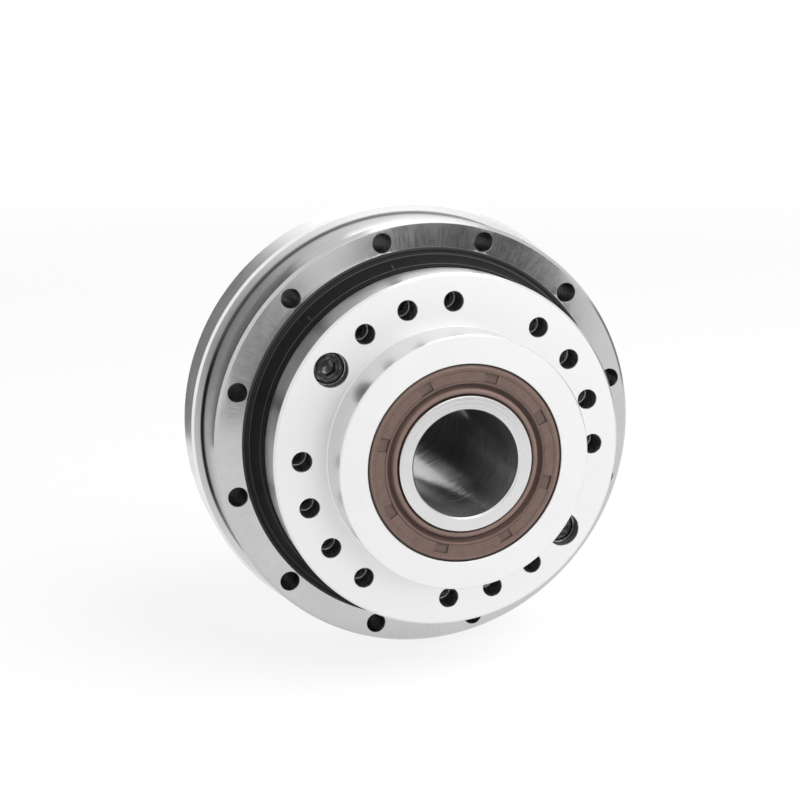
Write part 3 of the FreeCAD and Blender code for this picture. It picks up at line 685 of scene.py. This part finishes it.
def close_face(shell, rims):
    """Fills a flat face between its outer and inner edges and the rims of its holes."""
    bmesh.ops.triangle_fill(shell, use_beauty=True, use_dissolve=False, edges=rims, normal=FORWARD)


print("A face counts as flat within", LEVEL, "mm")

# %% [markdown]
# ## Boring a hole
# The circle at the mouth is extruded once for each step: the new ring of corners is scaled to the
# step's radius and moved to its depth. A step may name its own finish, so a bright ledge can lie
# between two dark walls. The edges of the first and the last ring come back, so that the faces round
# them can be closed.

# %% Bore a hole
HOLE_SIDES = 40
BARE = 0
WALL = 1


def of_kind(kind, parts):
    """Those parts of a mesh that are of one kind: vertices, edges or faces."""
    return [part for part in parts if isinstance(part, kind)]


def bore(shell, circle, degrees, steps, sides=HOLE_SIDES, wall=WALL):
    """Pushes a round opening in along the axis through steps of (radius, forward), in mm. A step may
    name a finish of its own. Gives the edges of its first and its last step."""
    centre = spot(circle, degrees, 0)
    radius, forward = steps[0]
    place = Matrix.Translation(spot(circle, degrees, forward)) @ Matrix.Rotation(math.pi / 2, 4, "X")
    ring = bmesh.ops.create_circle(shell, cap_ends=False, segments=sides, radius=radius * MM, matrix=place)
    first = list(dict.fromkeys(edge for dot in ring["verts"] for edge in dot.link_edges))
    last = first
    for next_radius, next_forward, *own_finish in steps[1:]:
        pushed = bmesh.ops.extrude_edge_only(shell, edges=last)["geom"]
        dots = of_kind(bmesh.types.BMVert, pushed)
        growth = next_radius / radius
        bmesh.ops.scale(shell, vec=(growth, 1, growth), space=Matrix.Translation(-centre), verts=dots)
        bmesh.ops.translate(shell, vec=FORWARD * (next_forward - forward) * MM, verts=dots)
        for face in of_kind(bmesh.types.BMFace, pushed):
            face.material_index = own_finish[0] if own_finish else wall
        new = set(dots)
        last = [edge for edge in of_kind(bmesh.types.BMEdge, pushed) if set(edge.verts) <= new]
        radius, forward = next_radius, next_forward
    return first, last


def even_angles(count, first):
    """Angles in degrees that share a circle evenly."""
    return [first + 360 * k / count for k in range(count)]


print("Sides of a hole:", HOLE_SIDES)

# %% [markdown]
# ## The bearing's outer ring
# The outer ring of the main bearing is the gearbox's fixed body: a ground steel ring with twelve
# plain bolt holes, a chamfer at each outer edge and a V groove inside for the crossed rollers. The
# holes run right through, so the front face and the back face are both opened and filled round them.

# %% Bearing outer ring
ring_bolt_angles = even_angles(12, 13.9)
ring_bolt_radius = 1.75
hole_rim = 0.10
ring_chamfer = 0.6
ring_bore = 32.0
lip_seat = 35.0
lip_seat_floor = -3.3
roller_middle = -6.8
roller_groove = 1.99
steel_edge = 0.06

ring_shell = turn([
    (lip_seat, 0), (ring_radius - ring_chamfer, 0), (ring_radius, -ring_chamfer), (ring_radius, joint_line),
    (ring_radius - back_chamfer, ring_back), (ring_bore, ring_back),
    (ring_bore, roller_middle - roller_groove), (ring_bore + roller_groove, roller_middle),
    (ring_bore, roller_middle + roller_groove), (ring_bore, lip_seat_floor), (lip_seat, lip_seat_floor)])
soften(ring_shell, steel_edge)
front_rims = open_face(ring_shell, 0)
back_rims = open_face(ring_shell, ring_back)
for degrees in ring_bolt_angles:
    mouth, end = bore(ring_shell, ring_bolt_circle, degrees, [
        (ring_bolt_radius + hole_rim, 0), (ring_bolt_radius, -hole_rim),
        (ring_bolt_radius, ring_back + hole_rim), (ring_bolt_radius + hole_rim, ring_back)])
    front_rims += mouth
    back_rims += end
close_face(ring_shell, front_rims)
close_face(ring_shell, back_rims)
finish_piece(ring_shell, "bearing_ring_body", [ring_ground_steel, shaded_drilled_wall], "housing",
             ["bearing_outer_ring"])

# %% [markdown]
# ## The rear flange
# Behind the ring sits a slightly wider flange that closes the housing and carries the shaft's rear
# bearing in a boss. Its bolt holes line up with the ring's. Six small stepped holes between them hold
# the screws that keep the housing together. The photograph shows only its rim, so the back is what
# such gearboxes have there: a plain turned face and the boss with the rear seal.

# %% Rear flange
flange_radius = 42.0
flange_chamfer = 0.45
flange_back = -22.9
brim_radius = 39.375
brim_seat = -15.8
rear_boss_radius = 25.0
rear_boss_chamfer = 0.5
rear_boss_end = -33.4
rear_lead_in = 0.3
rear_seal_floor = -25.9
rear_stop_radius = 19.3
rear_bearing_floor = -24.7
rear_bearing_seat = 21.01
rear_screw_angles = even_angles(6, 28.9)
rear_head_seat = -20.0
rear_head_room = 2.5
rear_screw_room = 1.45

flange_shell = turn([
    (rear_bearing_seat, brim_seat), (brim_radius, brim_seat), (brim_radius, ring_back),
    (flange_radius - flange_chamfer, ring_back), (flange_radius, ring_back - flange_chamfer),
    (flange_radius, flange_back + flange_chamfer), (flange_radius - flange_chamfer, flange_back),
    (rear_boss_radius, flange_back), (rear_boss_radius, rear_boss_end + rear_boss_chamfer),
    (rear_boss_radius - rear_boss_chamfer, rear_boss_end),
    (rear_seal["seat"] + rear_lead_in, rear_boss_end), (rear_seal["seat"], rear_boss_end + rear_lead_in),
    (rear_seal["seat"], rear_seal_floor), (rear_stop_radius, rear_seal_floor),
    (rear_stop_radius, rear_bearing_floor), (rear_bearing_seat, rear_bearing_floor)])
soften(flange_shell, steel_edge)
back_rims = open_face(flange_shell, flange_back)
seat_rims = open_face(flange_shell, brim_seat)
for degrees in ring_bolt_angles:
    mouth, end = bore(flange_shell, ring_bolt_circle, degrees, [
        (ring_bolt_radius + hole_rim, flange_back), (ring_bolt_radius, flange_back + hole_rim),
        (ring_bolt_radius, brim_seat)])
    back_rims += mouth
    seat_rims += end
for degrees in rear_screw_angles:
    mouth, end = bore(flange_shell, ring_bolt_circle, degrees, [
        (rear_head_room + hole_rim, flange_back), (rear_head_room, flange_back + hole_rim),
        (rear_head_room, rear_head_seat), (rear_screw_room, rear_head_seat), (rear_screw_room, brim_seat)])
    back_rims += mouth
    seat_rims += end
close_face(flange_shell, back_rims)
close_face(flange_shell, seat_rims)
finish_piece(flange_shell, "rear_flange_body", [flange_turned_steel, shaded_drilled_wall], "housing",
             ["rear_flange"])

# %% [markdown]
# ## The output cover
# The cover turns with the load. Its face has twenty places on one circle: fourteen stepped holes with
# a thread below a plain relief, two counterbores with the cover's own screws, and four places left
# blank. The raised boss in the middle holds the shaft seal and centres the driven part. The corner
# at the foot of the boss has the small radius that a turning tool leaves.

# %% Output cover
cover_face = 13.1
cover_radius = 32.0
cover_chamfer = 0.4
cover_back = 2.2
cover_edge = 0.07
spline_seat = 30.01
spline_face = 5.2
front_bearing_seat = 18.51
front_bearing_floor = 12.45
front_stop_radius = 16.8
front_seal_floor = 13.65
boss_face = 21.5
boss_radius = 22.5
boss_chamfer = 0.2
boss_lead_in = 0.15
boss_fillet = 0.22

boss_root = [(boss_radius + boss_fillet * (1 - math.cos(turned)),
              cover_face + boss_fillet * (1 - math.sin(turned)))
             for turned in (k * math.pi / 8 for k in range(5))]
cover_shell = turn([
    (front_seal["seat"] + boss_lead_in, boss_face), (boss_radius - boss_chamfer, boss_face),
    (boss_radius, boss_face - boss_chamfer), *boss_root, (cover_radius - cover_chamfer, cover_face),
    (cover_radius, cover_face - cover_chamfer), (cover_radius, cover_back), (spline_seat, cover_back),
    (spline_seat, spline_face), (front_bearing_seat, spline_face),
    (front_bearing_seat, front_bearing_floor), (front_stop_radius, front_bearing_floor),
    (front_stop_radius, front_seal_floor),
    (front_seal["seat"], front_seal_floor), (front_seal["seat"], boss_face - boss_lead_in)])
soften(cover_shell, cover_edge)
print("The boss stands", round(boss_face - cover_face, 2), "mm above the cover's face")

# %% [markdown]
# ## The holes of the cover
# A tapped hole starts with a plain relief, and a narrow bright ledge leads down to the thread. A
# counterbore for a screw head has a fine ledge too, where a second cutter went a little deeper. Both
# kinds are the same pushed circle with other steps, and each ends in a flat floor inside the cover.

# %% Holes of the cover
output_circle = 27.0
output_places = even_angles(20, 89.45)
screw_places = [3, 13]
blank_places = [4, 9, 14, 19]
tapped_places = [k for k in range(20) if k not in screw_places + blank_places]
hole_floor = spline_face + 0.1
relief_radius = 1.75
relief_floor = 8.35
relief_ledge = 1.64
relief_slope = 0.06
thread_outer = 1.5
thread_start = relief_floor - 0.14
thread_wall = thread_outer + 0.02
head_room = 3.0
head_ledge = cover_face - 2.25
head_ledge_slope = 0.05
lower_head_room = 2.90
cover_head_seat = 7.8
screw_room = 1.7

tapped_steps = [
    (relief_radius + hole_rim, cover_face), (relief_radius, cover_face - hole_rim),
    (relief_radius, relief_floor), (relief_ledge, relief_floor - relief_slope, BARE),
    (thread_wall, thread_start), (thread_wall, hole_floor)]
counterbore_steps = [
    (head_room + hole_rim, cover_face), (head_room, cover_face - hole_rim), (head_room, head_ledge, BARE),
    (lower_head_room, head_ledge - head_ledge_slope), (lower_head_room, cover_head_seat, BARE),
    (screw_room, cover_head_seat), (screw_room, hole_floor)]
face_rims = open_face(cover_shell, cover_face, boss_radius, cover_radius)
for places, steps in ((tapped_places, tapped_steps), (screw_places, counterbore_steps)):
    for k in places:
        mouth, end = bore(cover_shell, output_circle, output_places[k], steps)
        face_rims += mouth
        bmesh.ops.edgeloop_fill(cover_shell, edges=end, mat_nr=WALL)
close_face(cover_shell, face_rims)
finish_piece(cover_shell, "output_cover_body", [cover_turned_aluminium, shaded_drilled_wall], "output",
             ["output_flange"])

# %% [markdown]
# ## Threads in the holes
# A tapped hole shows its first turns. A thread is a small triangle that climbs as it goes round, and
# the spin operator does just that when each step also moves along the axis. The triangle points
# inwards from the hole's wall, its turns lie one pitch apart, and its two ends are closed.

# %% Threads
THREAD_STEPS = 20


def cut_thread(shell, circle, degrees, mouth, depth, outer, core, pitch, into):
    """A right-hand thread on the wall of a hole, from its mouth inwards. into is -1 for a hole that
    opens to the front and 1 for one that opens to the back."""
    centre = spot(circle, degrees, 0)
    corners = [(outer, 0), (core, pitch / 2), (outer, pitch)]
    dots = [shell.verts.new(centre + Vector((radius, -mouth - into * along, 0)) * MM)
            for radius, along in corners]
    ridge = [shell.edges.new(pair) for pair in zip(dots, dots[1:] + dots[:1])]
    turns = depth / pitch - 1
    bmesh.ops.spin(shell, geom=dots + ridge, cent=centre, axis=FORWARD * into,
                   dvec=FORWARD * into * pitch * MM / THREAD_STEPS, angle=2 * math.pi * turns,
                   steps=round(turns * THREAD_STEPS))
    bmesh.ops.holes_fill(shell, edges=[edge for edge in shell.edges if edge.is_boundary], sides=3)


thread_pitch = 0.5
thread_core = 1.23
thread_depth = 2.9

cover_threads = bmesh.new()
for k in tapped_places:
    cut_thread(cover_threads, output_circle, output_places[k], thread_start, thread_depth,
               thread_outer, thread_core, thread_pitch, -1)
finish_piece(cover_threads, "output_cover_threads", [shaded_drilled_wall], "output")

# %% [markdown]
# ## The hollow shaft
# The shaft runs through the whole gearbox. Its oval middle is the wave generator's cam. It is turned
# like the rest, and the cam is then pressed oval by scaling only the corners that lie on it.

# %% Hollow shaft
shaft_front = 21.5
shaft_back = -35.0
shaft_chamfer = 0.3
front_end_edge = 0.1
front_journal = 12.5
collar_radius = 16.5
rear_collar_back = -17.7
rear_collar_front = -16.2
waist_radius = 13.5
cam_collar_back = -3.55
cam_radius = 15.4
cam_back = -2.05
cam_front = 4.45
wave = 0.27
shaft_edge = 0.05
NEAR = 0.01

shaft_shell = turn([
    (bore_radius, shaft_back + shaft_chamfer), (bore_radius + shaft_chamfer, shaft_back),
    (rear_seal["shaft"] - shaft_chamfer, shaft_back), (rear_seal["shaft"], shaft_back + shaft_chamfer),
    (rear_seal["shaft"], rear_collar_back), (collar_radius, rear_collar_back),
    (collar_radius, rear_collar_front), (waist_radius, rear_collar_front), (waist_radius, cam_collar_back),
    (collar_radius, cam_collar_back), (collar_radius, cam_back), (cam_radius, cam_back),
    (cam_radius, cam_front), (front_journal, cam_front), (front_journal, front_bearing_floor),
    (front_seal["shaft"], front_bearing_floor), (front_seal["shaft"], shaft_front - front_end_edge),
    (front_seal["shaft"] - front_end_edge, shaft_front), (bore_radius + shaft_chamfer, shaft_front),
    (bore_radius, shaft_front - shaft_chamfer)])
on_cam = [dot for dot in shaft_shell.verts if abs(from_axis(dot.co) - cam_radius) < NEAR]
bmesh.ops.scale(shaft_shell, vec=(1 + wave / cam_radius, 1, 1 - wave / cam_radius), verts=on_cam)
soften(shaft_shell, shaft_edge)
print("Corners on the cam:", len(on_cam))

# %% [markdown]
# ## The shaft's drive holes
# Six tapped holes in the shaft's rear end take the motor's coupling. They are bored like the holes of
# the cover, from the back this time, and end in the cone that the drill's tip leaves. The same
# function cuts their threads, told that they open to the back.

# %% Drive holes of the shaft
drive_circle = 12.75
drive_angles = even_angles(6, 0)
drive_radius = 1.5
drive_thread_outer = drive_radius - 0.01
drive_floor = shaft_back + 5.2
drill_tip = shaft_back + 6.0
drill_tip_radius = 0.4
drive_thread_depth = 5.0

drive_threads = bmesh.new()
end_rims = open_face(shaft_shell, shaft_back)
for degrees in drive_angles:
    mouth, end = bore(shaft_shell, drive_circle, degrees, [
        (drive_radius + hole_rim, shaft_back), (drive_radius, shaft_back + hole_rim),
        (drive_radius, drive_floor), (drill_tip_radius, drill_tip)])
    end_rims += mouth
    bmesh.ops.edgeloop_fill(shaft_shell, edges=end, mat_nr=WALL)
    cut_thread(drive_threads, drive_circle, degrees, shaft_back + hole_rim, drive_thread_depth,
               drive_thread_outer, thread_core, thread_pitch, 1)
close_face(shaft_shell, end_rims)
finish_piece(shaft_shell, "hollow_shaft_body", [shaft_ground_steel, shaded_drilled_wall], "input",
             ["hollow_shaft"])
finish_piece(drive_threads, "hollow_shaft_threads", [shaded_drilled_wall], "input")

# %% [markdown]
# ## The main lip seal
# A black rubber seal fills the gap between the ring and the turning cover. It is pressed into the
# ring, rises as a cone, and ends in a thin lip that wipes the cover. The mould left two fine grooves
# in its flat edge, and a thin bead at the foot and near the top of the cone. Those rings are what the
# photograph shows of it. They are part of the section, and the spin carries them round.

# %% Main lip seal
press_room = 0.01
groove_depth = 0.10
groove_half = 0.11
groove_floor_half = 0.05


def groove(middle):
    """The four corners of a fine groove in the seal's flat edge, about a middle radius."""
    return [(middle + groove_half, 0), (middle + groove_floor_half, -groove_depth),
            (middle - groove_floor_half, -groove_depth), (middle - groove_half, 0)]


lip_back = lip_seat_floor + 0.1
lip_press = lip_seat - press_room
foot = [(33.35, lip_back), (lip_press, lip_back), (lip_press, -0.05), (34.86, 0)]
flat_edge = groove(outer_groove) + groove(inner_groove) + [(33.98, 0.04)]
low_bead = [(33.88, 0.30), (33.90, root_bead), (33.84, 0.50), (33.74, 0.58)]
high_bead = [(32.49, 3.36), (32.51, 3.48), (32.46, 3.58), (32.40, 3.64)]
wiping_lip = [(32.21, 5.34), (32.15, 5.40), (32.05, 5.40), (32.05, 4.85)]
inside = [(32.26, 2.95), (33.35, -0.1)]
lip_shell = turn(foot + flat_edge + low_bead + high_bead + wiping_lip + inside)
finish_piece(lip_shell, "main_lip_seal", [lip_seal_rubber], "housing", ["main_seal"])

# %% [markdown]
# ## The shaft seals
# A brown radial seal sits in the cover's boss, and a plain one of the same make closes the rear. The
# face has a sunken band, a rounded gutter, and the dust lip that leans against the shaft. The section
# starts at the case, goes over the face and the lip, and comes back along the inside. Depths count
# from the face inwards, so one function serves both seals, whichever way they look.

# %% Section of a shaft seal
SEAL_STEPS = 240
lip_gap = 0.05
band_depth = 0.07
recess_from_top = 0.09
recess_from_end = 0.08


def shaft_seal(shaft, seat, face, facing, deep):
    """A radial seal's shell between a shaft and a seat, deep mm long behind its face."""
    lip = shaft + lip_gap
    press = seat - press_room
    band_top = seat - band_outer
    band_end = seat - band_inner

    def at(radius, depth):
        return (radius, face - facing * depth)

    rim = [at(press, deep), at(press, 0.42), at(press - 0.13, 0.13), at(press - 0.42, 0)]
    band = [at(band_top + 0.04, 0), at(band_top - 0.02, band_depth),
            at(band_top - recess_from_top, band_depth), at(band_end + recess_from_end, band_depth),
            at(band_end + 0.03, band_depth), at(band_end - 0.03, 0)]
    gutter = [at(lip + 2.20, 0), at(lip + 2.08, 0.06), at(lip + 1.96, 0.45), at(lip + 1.82, 0.68),
              at(lip + 1.62, 0.78), at(lip + 1.40, 0.68), at(lip + 1.24, 0.46), at(lip + 1.00, 0.14)]
    dust_lip = [at(lip + 0.82, 0.05), at(lip + 0.52, 0.04), at(lip + 0.32, 0.14), at(lip + 0.16, 0.40),
                at(lip, 0.60), at(lip, 0.70)]
    main_lip = [at(lip + 0.85, 2.3), at(lip, deep - 2.5), at(lip + 0.33, deep - 0.6),
                at(lip + 1.2, deep - 0.6), at(lip + 1.2, deep - 3.1), at(lip + 2.05, 2.3)]
    case = [at(press - 1.25, 2.3), at(press - 1.25, deep)]
    return turn(rim + band + gutter + dust_lip + main_lip + case, SEAL_STEPS)


front_seal_shell = shaft_seal(**front_seal, deep=7.35)
print("Front seal before its recesses:", len(front_seal_shell.faces), "faces")

# %% [markdown]
# ## Recesses in the front seal
# Eight shallow recesses are moulded into the front seal's band. The spin's steps divide their spacing
# evenly, so each recess is a few faces of one ring, pushed in by an extrusion. Their walls take the
# black rubber as painted shade, since they lie in shade.

# %% Recesses of the front seal
recess_spacing = 45
recess_first = 28.5
recess_half = 4.5
recess_depth = 0.26
recess_outer = front_seal["seat"] - band_outer - recess_from_top
recess_inner = front_seal["seat"] - band_inner + recess_from_end
rubber_edge = 0.02

marked = []
for face in front_seal_shell.faces:
    middle = face.calc_center_median()
    turned = math.degrees(math.atan2(middle.z, middle.x)) - recess_first
    off_recess = (turned + recess_spacing / 2) % recess_spacing - recess_spacing / 2
    on_band = abs(middle.y / MM + front_seal["face"] - band_depth) < LEVEL
    if on_band and recess_inner < from_axis(middle) < recess_outer and abs(off_recess) < recess_half:
        marked.append(face)
pushed = bmesh.ops.extrude_face_region(front_seal_shell, geom=marked)["geom"]
bmesh.ops.translate(front_seal_shell, vec=-FORWARD * recess_depth * MM,
                    verts=of_kind(bmesh.types.BMVert, pushed))
bmesh.ops.delete(front_seal_shell, geom=marked, context="FACES")
recess_floors = set(of_kind(bmesh.types.BMFace, pushed))
# The walls round each recess floor take the black rubber: painted shade.
for edge in {edge for recess in recess_floors for edge in recess.edges}:
    for wall in set(edge.link_faces) - recess_floors:
        wall.material_index = WALL
print("Recess faces:", len(marked))
soften(front_seal_shell, rubber_edge, lowest=30)
finish_piece(front_seal_shell, "front_shaft_seal", [shaft_seal_rubber, lip_seal_rubber], "output",
             ["front_oil_seal"])

# %% Rear shaft seal
rear_seal_shell = shaft_seal(**rear_seal, deep=7.0)
finish_piece(rear_seal_shell, "rear_shaft_seal", [rear_seal_rubber], "housing",
             ["rear_oil_seal"])

# %% [markdown]
# ## Socket head screws
# Two black screws hold the cover and six smaller ones the rear flange. Each is turned about its own
# middle line, its top is opened, and a six-sided opening is pushed down into it. Every second edge
# of the head's side is drawn in a little, which makes the knurling that fingers grip.

# %% A cap screw
SCREW_STEPS = 48
head_edge = [(0, 0.35), (0.12, 0.12), (0.4, 0)]
knurl_depth = 0.06
groove_outer = 0.82
groove_middle = 0.74
groove_inner = 0.66
head_groove_depth = 0.14
screw_end_chamfer = 0.2
socket_edge = 0.08
socket_tip_radius = 0.2
socket_tip_depth = 0.3


def cap_screw(head, height, flats, thread, length):
    """A socket head screw on the axis: its head stands forward from 0, its thread runs back."""
    end = -length
    rounded = [(head - inwards, height - down) for inwards, down in head_edge]
    shell = turn([(0, end), (thread - screw_end_chamfer, end), (thread, end + screw_end_chamfer),
                  (thread, 0), (head, 0), *rounded,
                  (head * groove_outer, height), (head * groove_middle, height - head_groove_depth),
                  (head * groove_inner, height), (0, height)], SCREW_STEPS)
    hollows = [dot for dot in shell.verts if from_axis(dot.co) > head - NEAR
               and round(math.degrees(math.atan2(dot.co.z, dot.co.x)) * SCREW_STEPS / 360) % 2]
    drawn_in = 1 - knurl_depth / head
    bmesh.ops.scale(shell, vec=(drawn_in, 1, drawn_in), verts=hollows)
    rims = open_face(shell, height, outside=head * groove_inner)
    corner = flats / math.sqrt(3)
    mouth, floor = bore(shell, 0, 0, [
        (corner + socket_edge, height), (corner, height - socket_edge), (corner, height / 2),
        (socket_tip_radius, height / 2 - socket_tip_depth)], sides=6, wall=BARE)
    bmesh.ops.edgeloop_fill(shell, edges=floor)
    close_face(shell, rims + mouth)
    return shell


print("Knurls round a head:", SCREW_STEPS // 2)

# %% [markdown]
# ## Screws in their places
# All screws of a kind are one piece: the screw is copied to each angle of its hole circle, and turned
# about where it is put in from the back. The cover's two screws turn with the output, and the six of
# the housing stay still.

# %% Set the screws
def set_screws(name, screw, circle, angles, seat, facing, body, node):
    """Copies of a screw at each angle of a hole circle, as one piece."""
    group = bmesh.new()
    one = mesh_of(screw, "one_screw")
    for degrees in angles:
        before = set(group.verts)
        group.from_mesh(one)
        dots = [dot for dot in group.verts if dot not in before]
        if facing < 0:
            bmesh.ops.rotate(group, cent=(0, 0, 0), matrix=Matrix.Rotation(math.pi, 3, "X"), verts=dots)
        bmesh.ops.translate(group, vec=spot(circle, degrees, seat), verts=dots)
    bpy.data.meshes.remove(one)
    finish_piece(group, name, [screw_black_oxide], body, [node])


cover_screw = cap_screw(head=2.75, height=3.0, flats=2.5, thread=1.5, length=8.0)
set_screws("output_cover_screws", cover_screw, output_circle, [output_places[k] for k in screw_places],
           cover_head_seat, 1, "output", "output_cap_screws")
rear_screw = cap_screw(head=2.25, height=2.5, flats=2.0, thread=1.25, length=11.0)
set_screws("rear_housing_screws", rear_screw, ring_bolt_circle, rear_screw_angles,
           rear_head_seat, -1, "housing", "rear_flange_screws")

# %% [markdown]
# ## What stays as CAD
# The gears, the bearings, the rollers and the rings inside already have their true shape, so the CAD
# solids stay and only take a better finish. The name of each node's material in model.glb is its
# slot, and the slot tells what it is made of.

# %% Finishes for the carried-over nodes
finish_of_slot = {
    "ring_steel": ring_ground_steel, "flange_steel": flange_turned_steel,
    "cover_aluminium": cover_turned_aluminium, "gear_steel": gear_hobbed_steel,
    "shaft_steel": shaft_ground_steel, "bearing_steel": race_ground_steel,
    "shield_steel": shield_rolled_sheet, "spring_steel": spring_wire_steel,
    "screw_steel": screw_black_oxide, "cage_polymer": cage_glass_nylon,
    "black_rubber": lip_seal_rubber, "brown_rubber": shaft_seal_rubber}
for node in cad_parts.values():
    slot = node.data.materials[0].name.split(".")[0]
    node.data.materials[0] = finish_of_slot[slot]
shown = [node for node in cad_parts.values() if not node.hide_render]
print("CAD nodes shown with a new finish:", len(shown))

# %% [markdown]
# ## A white room
# The photograph is a cut-out on white. The world is white to the eye and to reflections, so that metal
# mirrors the same white room, while a lower strength lights what isn't metal: the rubber, the nylon
# and the floor. The Light Path node tells the two apart: it knows what kind of ray is asking.

# %% World
world_light = 0.32


def seen_directly(start):
    """1 for the eye and for rays that mirror or pass through, 0 for light that spreads."""
    eye, mirror, glass = [start.node("ShaderNodeLightPath", output=name)
                          for name in ("Is Camera Ray", "Is Glossy Ray", "Is Transmission Ray")]
    together = eye + mirror + glass
    return together.maths("MINIMUM", together, 1.0)


world = bpy.data.worlds.new("white_room")
bpy.context.scene.world = world
world.use_nodes = True
strength = world_light + seen_directly(Wire(world.node_tree)) * (1 - world_light)
background = world.node_tree.nodes["Background"]
background.inputs["Color"].default_value = (1, 1, 1, 1)
world.node_tree.links.new(strength.socket, background.inputs["Strength"])
print("World is white to the eye and lights the rest at", world_light)

# %% [markdown]
# ## The floor
# The floor is a plain pale sheet. To the eye it is mostly white, and a small share of it is lit paint
# that takes the gearbox's shadow. That share fades out with the distance, so no horizon shows.

# %% Floor
floor_level = -42.0
floor_half = 6.0
shadow_share = 0.14
fade_from = 0.3
fade_to = 1.2

floor_shell = bmesh.new()
bmesh.ops.create_grid(floor_shell, x_segments=1, y_segments=1, size=floor_half,
                      matrix=Matrix.Translation((0, 0, floor_level * MM)))
floor = into_scene("studio_floor", mesh_of(floor_shell, "studio_floor"))
floor_paint = bpy.data.materials.new("floor_paint")
floor_paint.use_nodes = True
start = Wire(floor_paint.node_tree)
matt = start.node("ShaderNodeBsdfDiffuse", inputs={"Color": (0.9, 0.9, 0.9, 1)})
white = start.node("ShaderNodeEmission", inputs={"Color": (1, 1, 1, 1), "Strength": 1.0})
place = start.node("ShaderNodeTexCoord", output="Object")
away = start.node("ShaderNodeVectorMath", {"operation": "LENGTH"}, {0: place}, "Value")
whiteness = 1 - shadow_share + soft_step(away, fade_from, fade_to) * shadow_share
paint = start.node("ShaderNodeMixShader", inputs={0: seen_directly(start) * whiteness, 1: matt, 2: white})
floor_paint.node_tree.links.new(paint.socket, floor_paint.node_tree.nodes["Material Output"].inputs[0])
floor.data.materials.append(floor_paint)
print("Floor at", floor_level, "mm")

# %% [markdown]
# ## Lamps
# One large soft box at the upper right and a weak one on the left light the rubber, the nylon and the
# floor. Metal doesn't mirror them: what it shows is set by the cards of the next step, so that its
# tone and the light on the rubber can be tuned apart.

# %% Lamps
def soft_lamp(name, place, width, height, power):
    """A rectangular soft box that faces the gearbox, in metres and watts."""
    lamp = into_scene(name, bpy.data.lights.new(name, "AREA"))
    lamp.data.shape = "RECTANGLE"
    lamp.data.size = width
    lamp.data.size_y = height
    lamp.data.energy = power
    facing = (-Vector(place)).to_track_quat("-Z", "Y").to_matrix().to_4x4()
    lamp.matrix_world = Matrix.Translation(place) @ facing
    lamp.visible_glossy = False
    print(name, "gives", power, "W")


soft_lamp("overhead_box", place=(0.45, -0.45, 0.75), width=0.8, height=0.8, power=14.5)
soft_lamp("left_box", place=(-0.85, -0.20, 0.14), width=0.36, height=0.34, power=0.4)

# %% [markdown]
# ## Reflection cards
# Bare metal in a white room looks like paper. A photographer hangs dark cards beside the camera, so
# that turned faces have something to mirror, and bright ones where a highlight should be. These cards
# are seen only in reflections and throw no shadow. They glow evenly at a level of their own, and white
# is a level of 1.

# %% A reflection card
def reflection_card(name, corners, level):
    """A flat card, seen only in reflections, from its four corners in mm."""
    shell = bmesh.new()
    shell.faces.new([shell.verts.new(Vector(corner) * MM) for corner in corners])
    card = into_scene(name, mesh_of(shell, name))
    paint, _ = new_finish(name, Base_Color=(0, 0, 0, 1), Specular_IOR_Level=0.0,
                          Emission_Color=(1, 1, 1, 1), Emission_Strength=level)
    card.data.materials.append(paint)
    card.visible_camera = False
    card.visible_diffuse = False
    card.visible_shadow = False
    card.visible_transmission = False
    print(name, "at a level of", level)


print("Cards are seen only in reflections")

# %% [markdown]
# ## Cards round the gearbox
# The places of the cards follow from where a face's mirrored view goes: the ring's sides look to the
# left and up, and the bore looks out through its far end. Most cards stand upright, and two hang flat
# above the gearbox.

# %% Hang the cards
ceiling = 500


def wall_card(name, near, far, bottom, top, level):
    """A card that stands upright from one place on the plan to another, both (x, y)."""
    reflection_card(name, [(*near, bottom), (*far, bottom), (*far, top), (*near, top)], level)


def ceiling_card(name, left, right, front, back, level):
    """A card that hangs flat above the gearbox."""
    plan = ((left, front), (right, front), (right, back), (left, back))
    reflection_card(name, [(x, y, ceiling) for x, y in plan], level)


wall_card("front_right_card", (68, -300), (152, -300), bottom=floor_level, top=22, level=0.09)
wall_card("front_middle_card", (-7, -200), (22, -200), bottom=floor_level, top=6, level=0.36)
wall_card("camera_card", (-200, -330), (-42, -330), bottom=floor_level, top=150, level=0.16)
wall_card("front_right_glow", (20, -450), (220, -450), bottom=45, top=240, level=3.1)
wall_card("back_left_card", (-200, 170), (-36, 170), bottom=floor_level, top=110, level=0.18)
wall_card("bore_card", (-45, 110), (9, 110), bottom=-36, top=38, level=0.02)
wall_card("bore_glow", (18, 300), (80, 300), bottom=45, top=125, level=2.1)
wall_card("back_glow", (30, 450), (190, 450), bottom=40, top=200, level=1.6)
ceiling_card("top_back_glow", left=0, right=350, front=150, back=500, level=5.8)
ceiling_card("top_glow", left=-40, right=330, front=-200, back=-20, level=2.2)
wall_card("left_glow", (-700, -700), (-700, 100), bottom=floor_level, top=ceiling, level=1.0)
wall_card("right_card", (520, -260), (520, 260), bottom=floor_level, top=150, level=0.30)
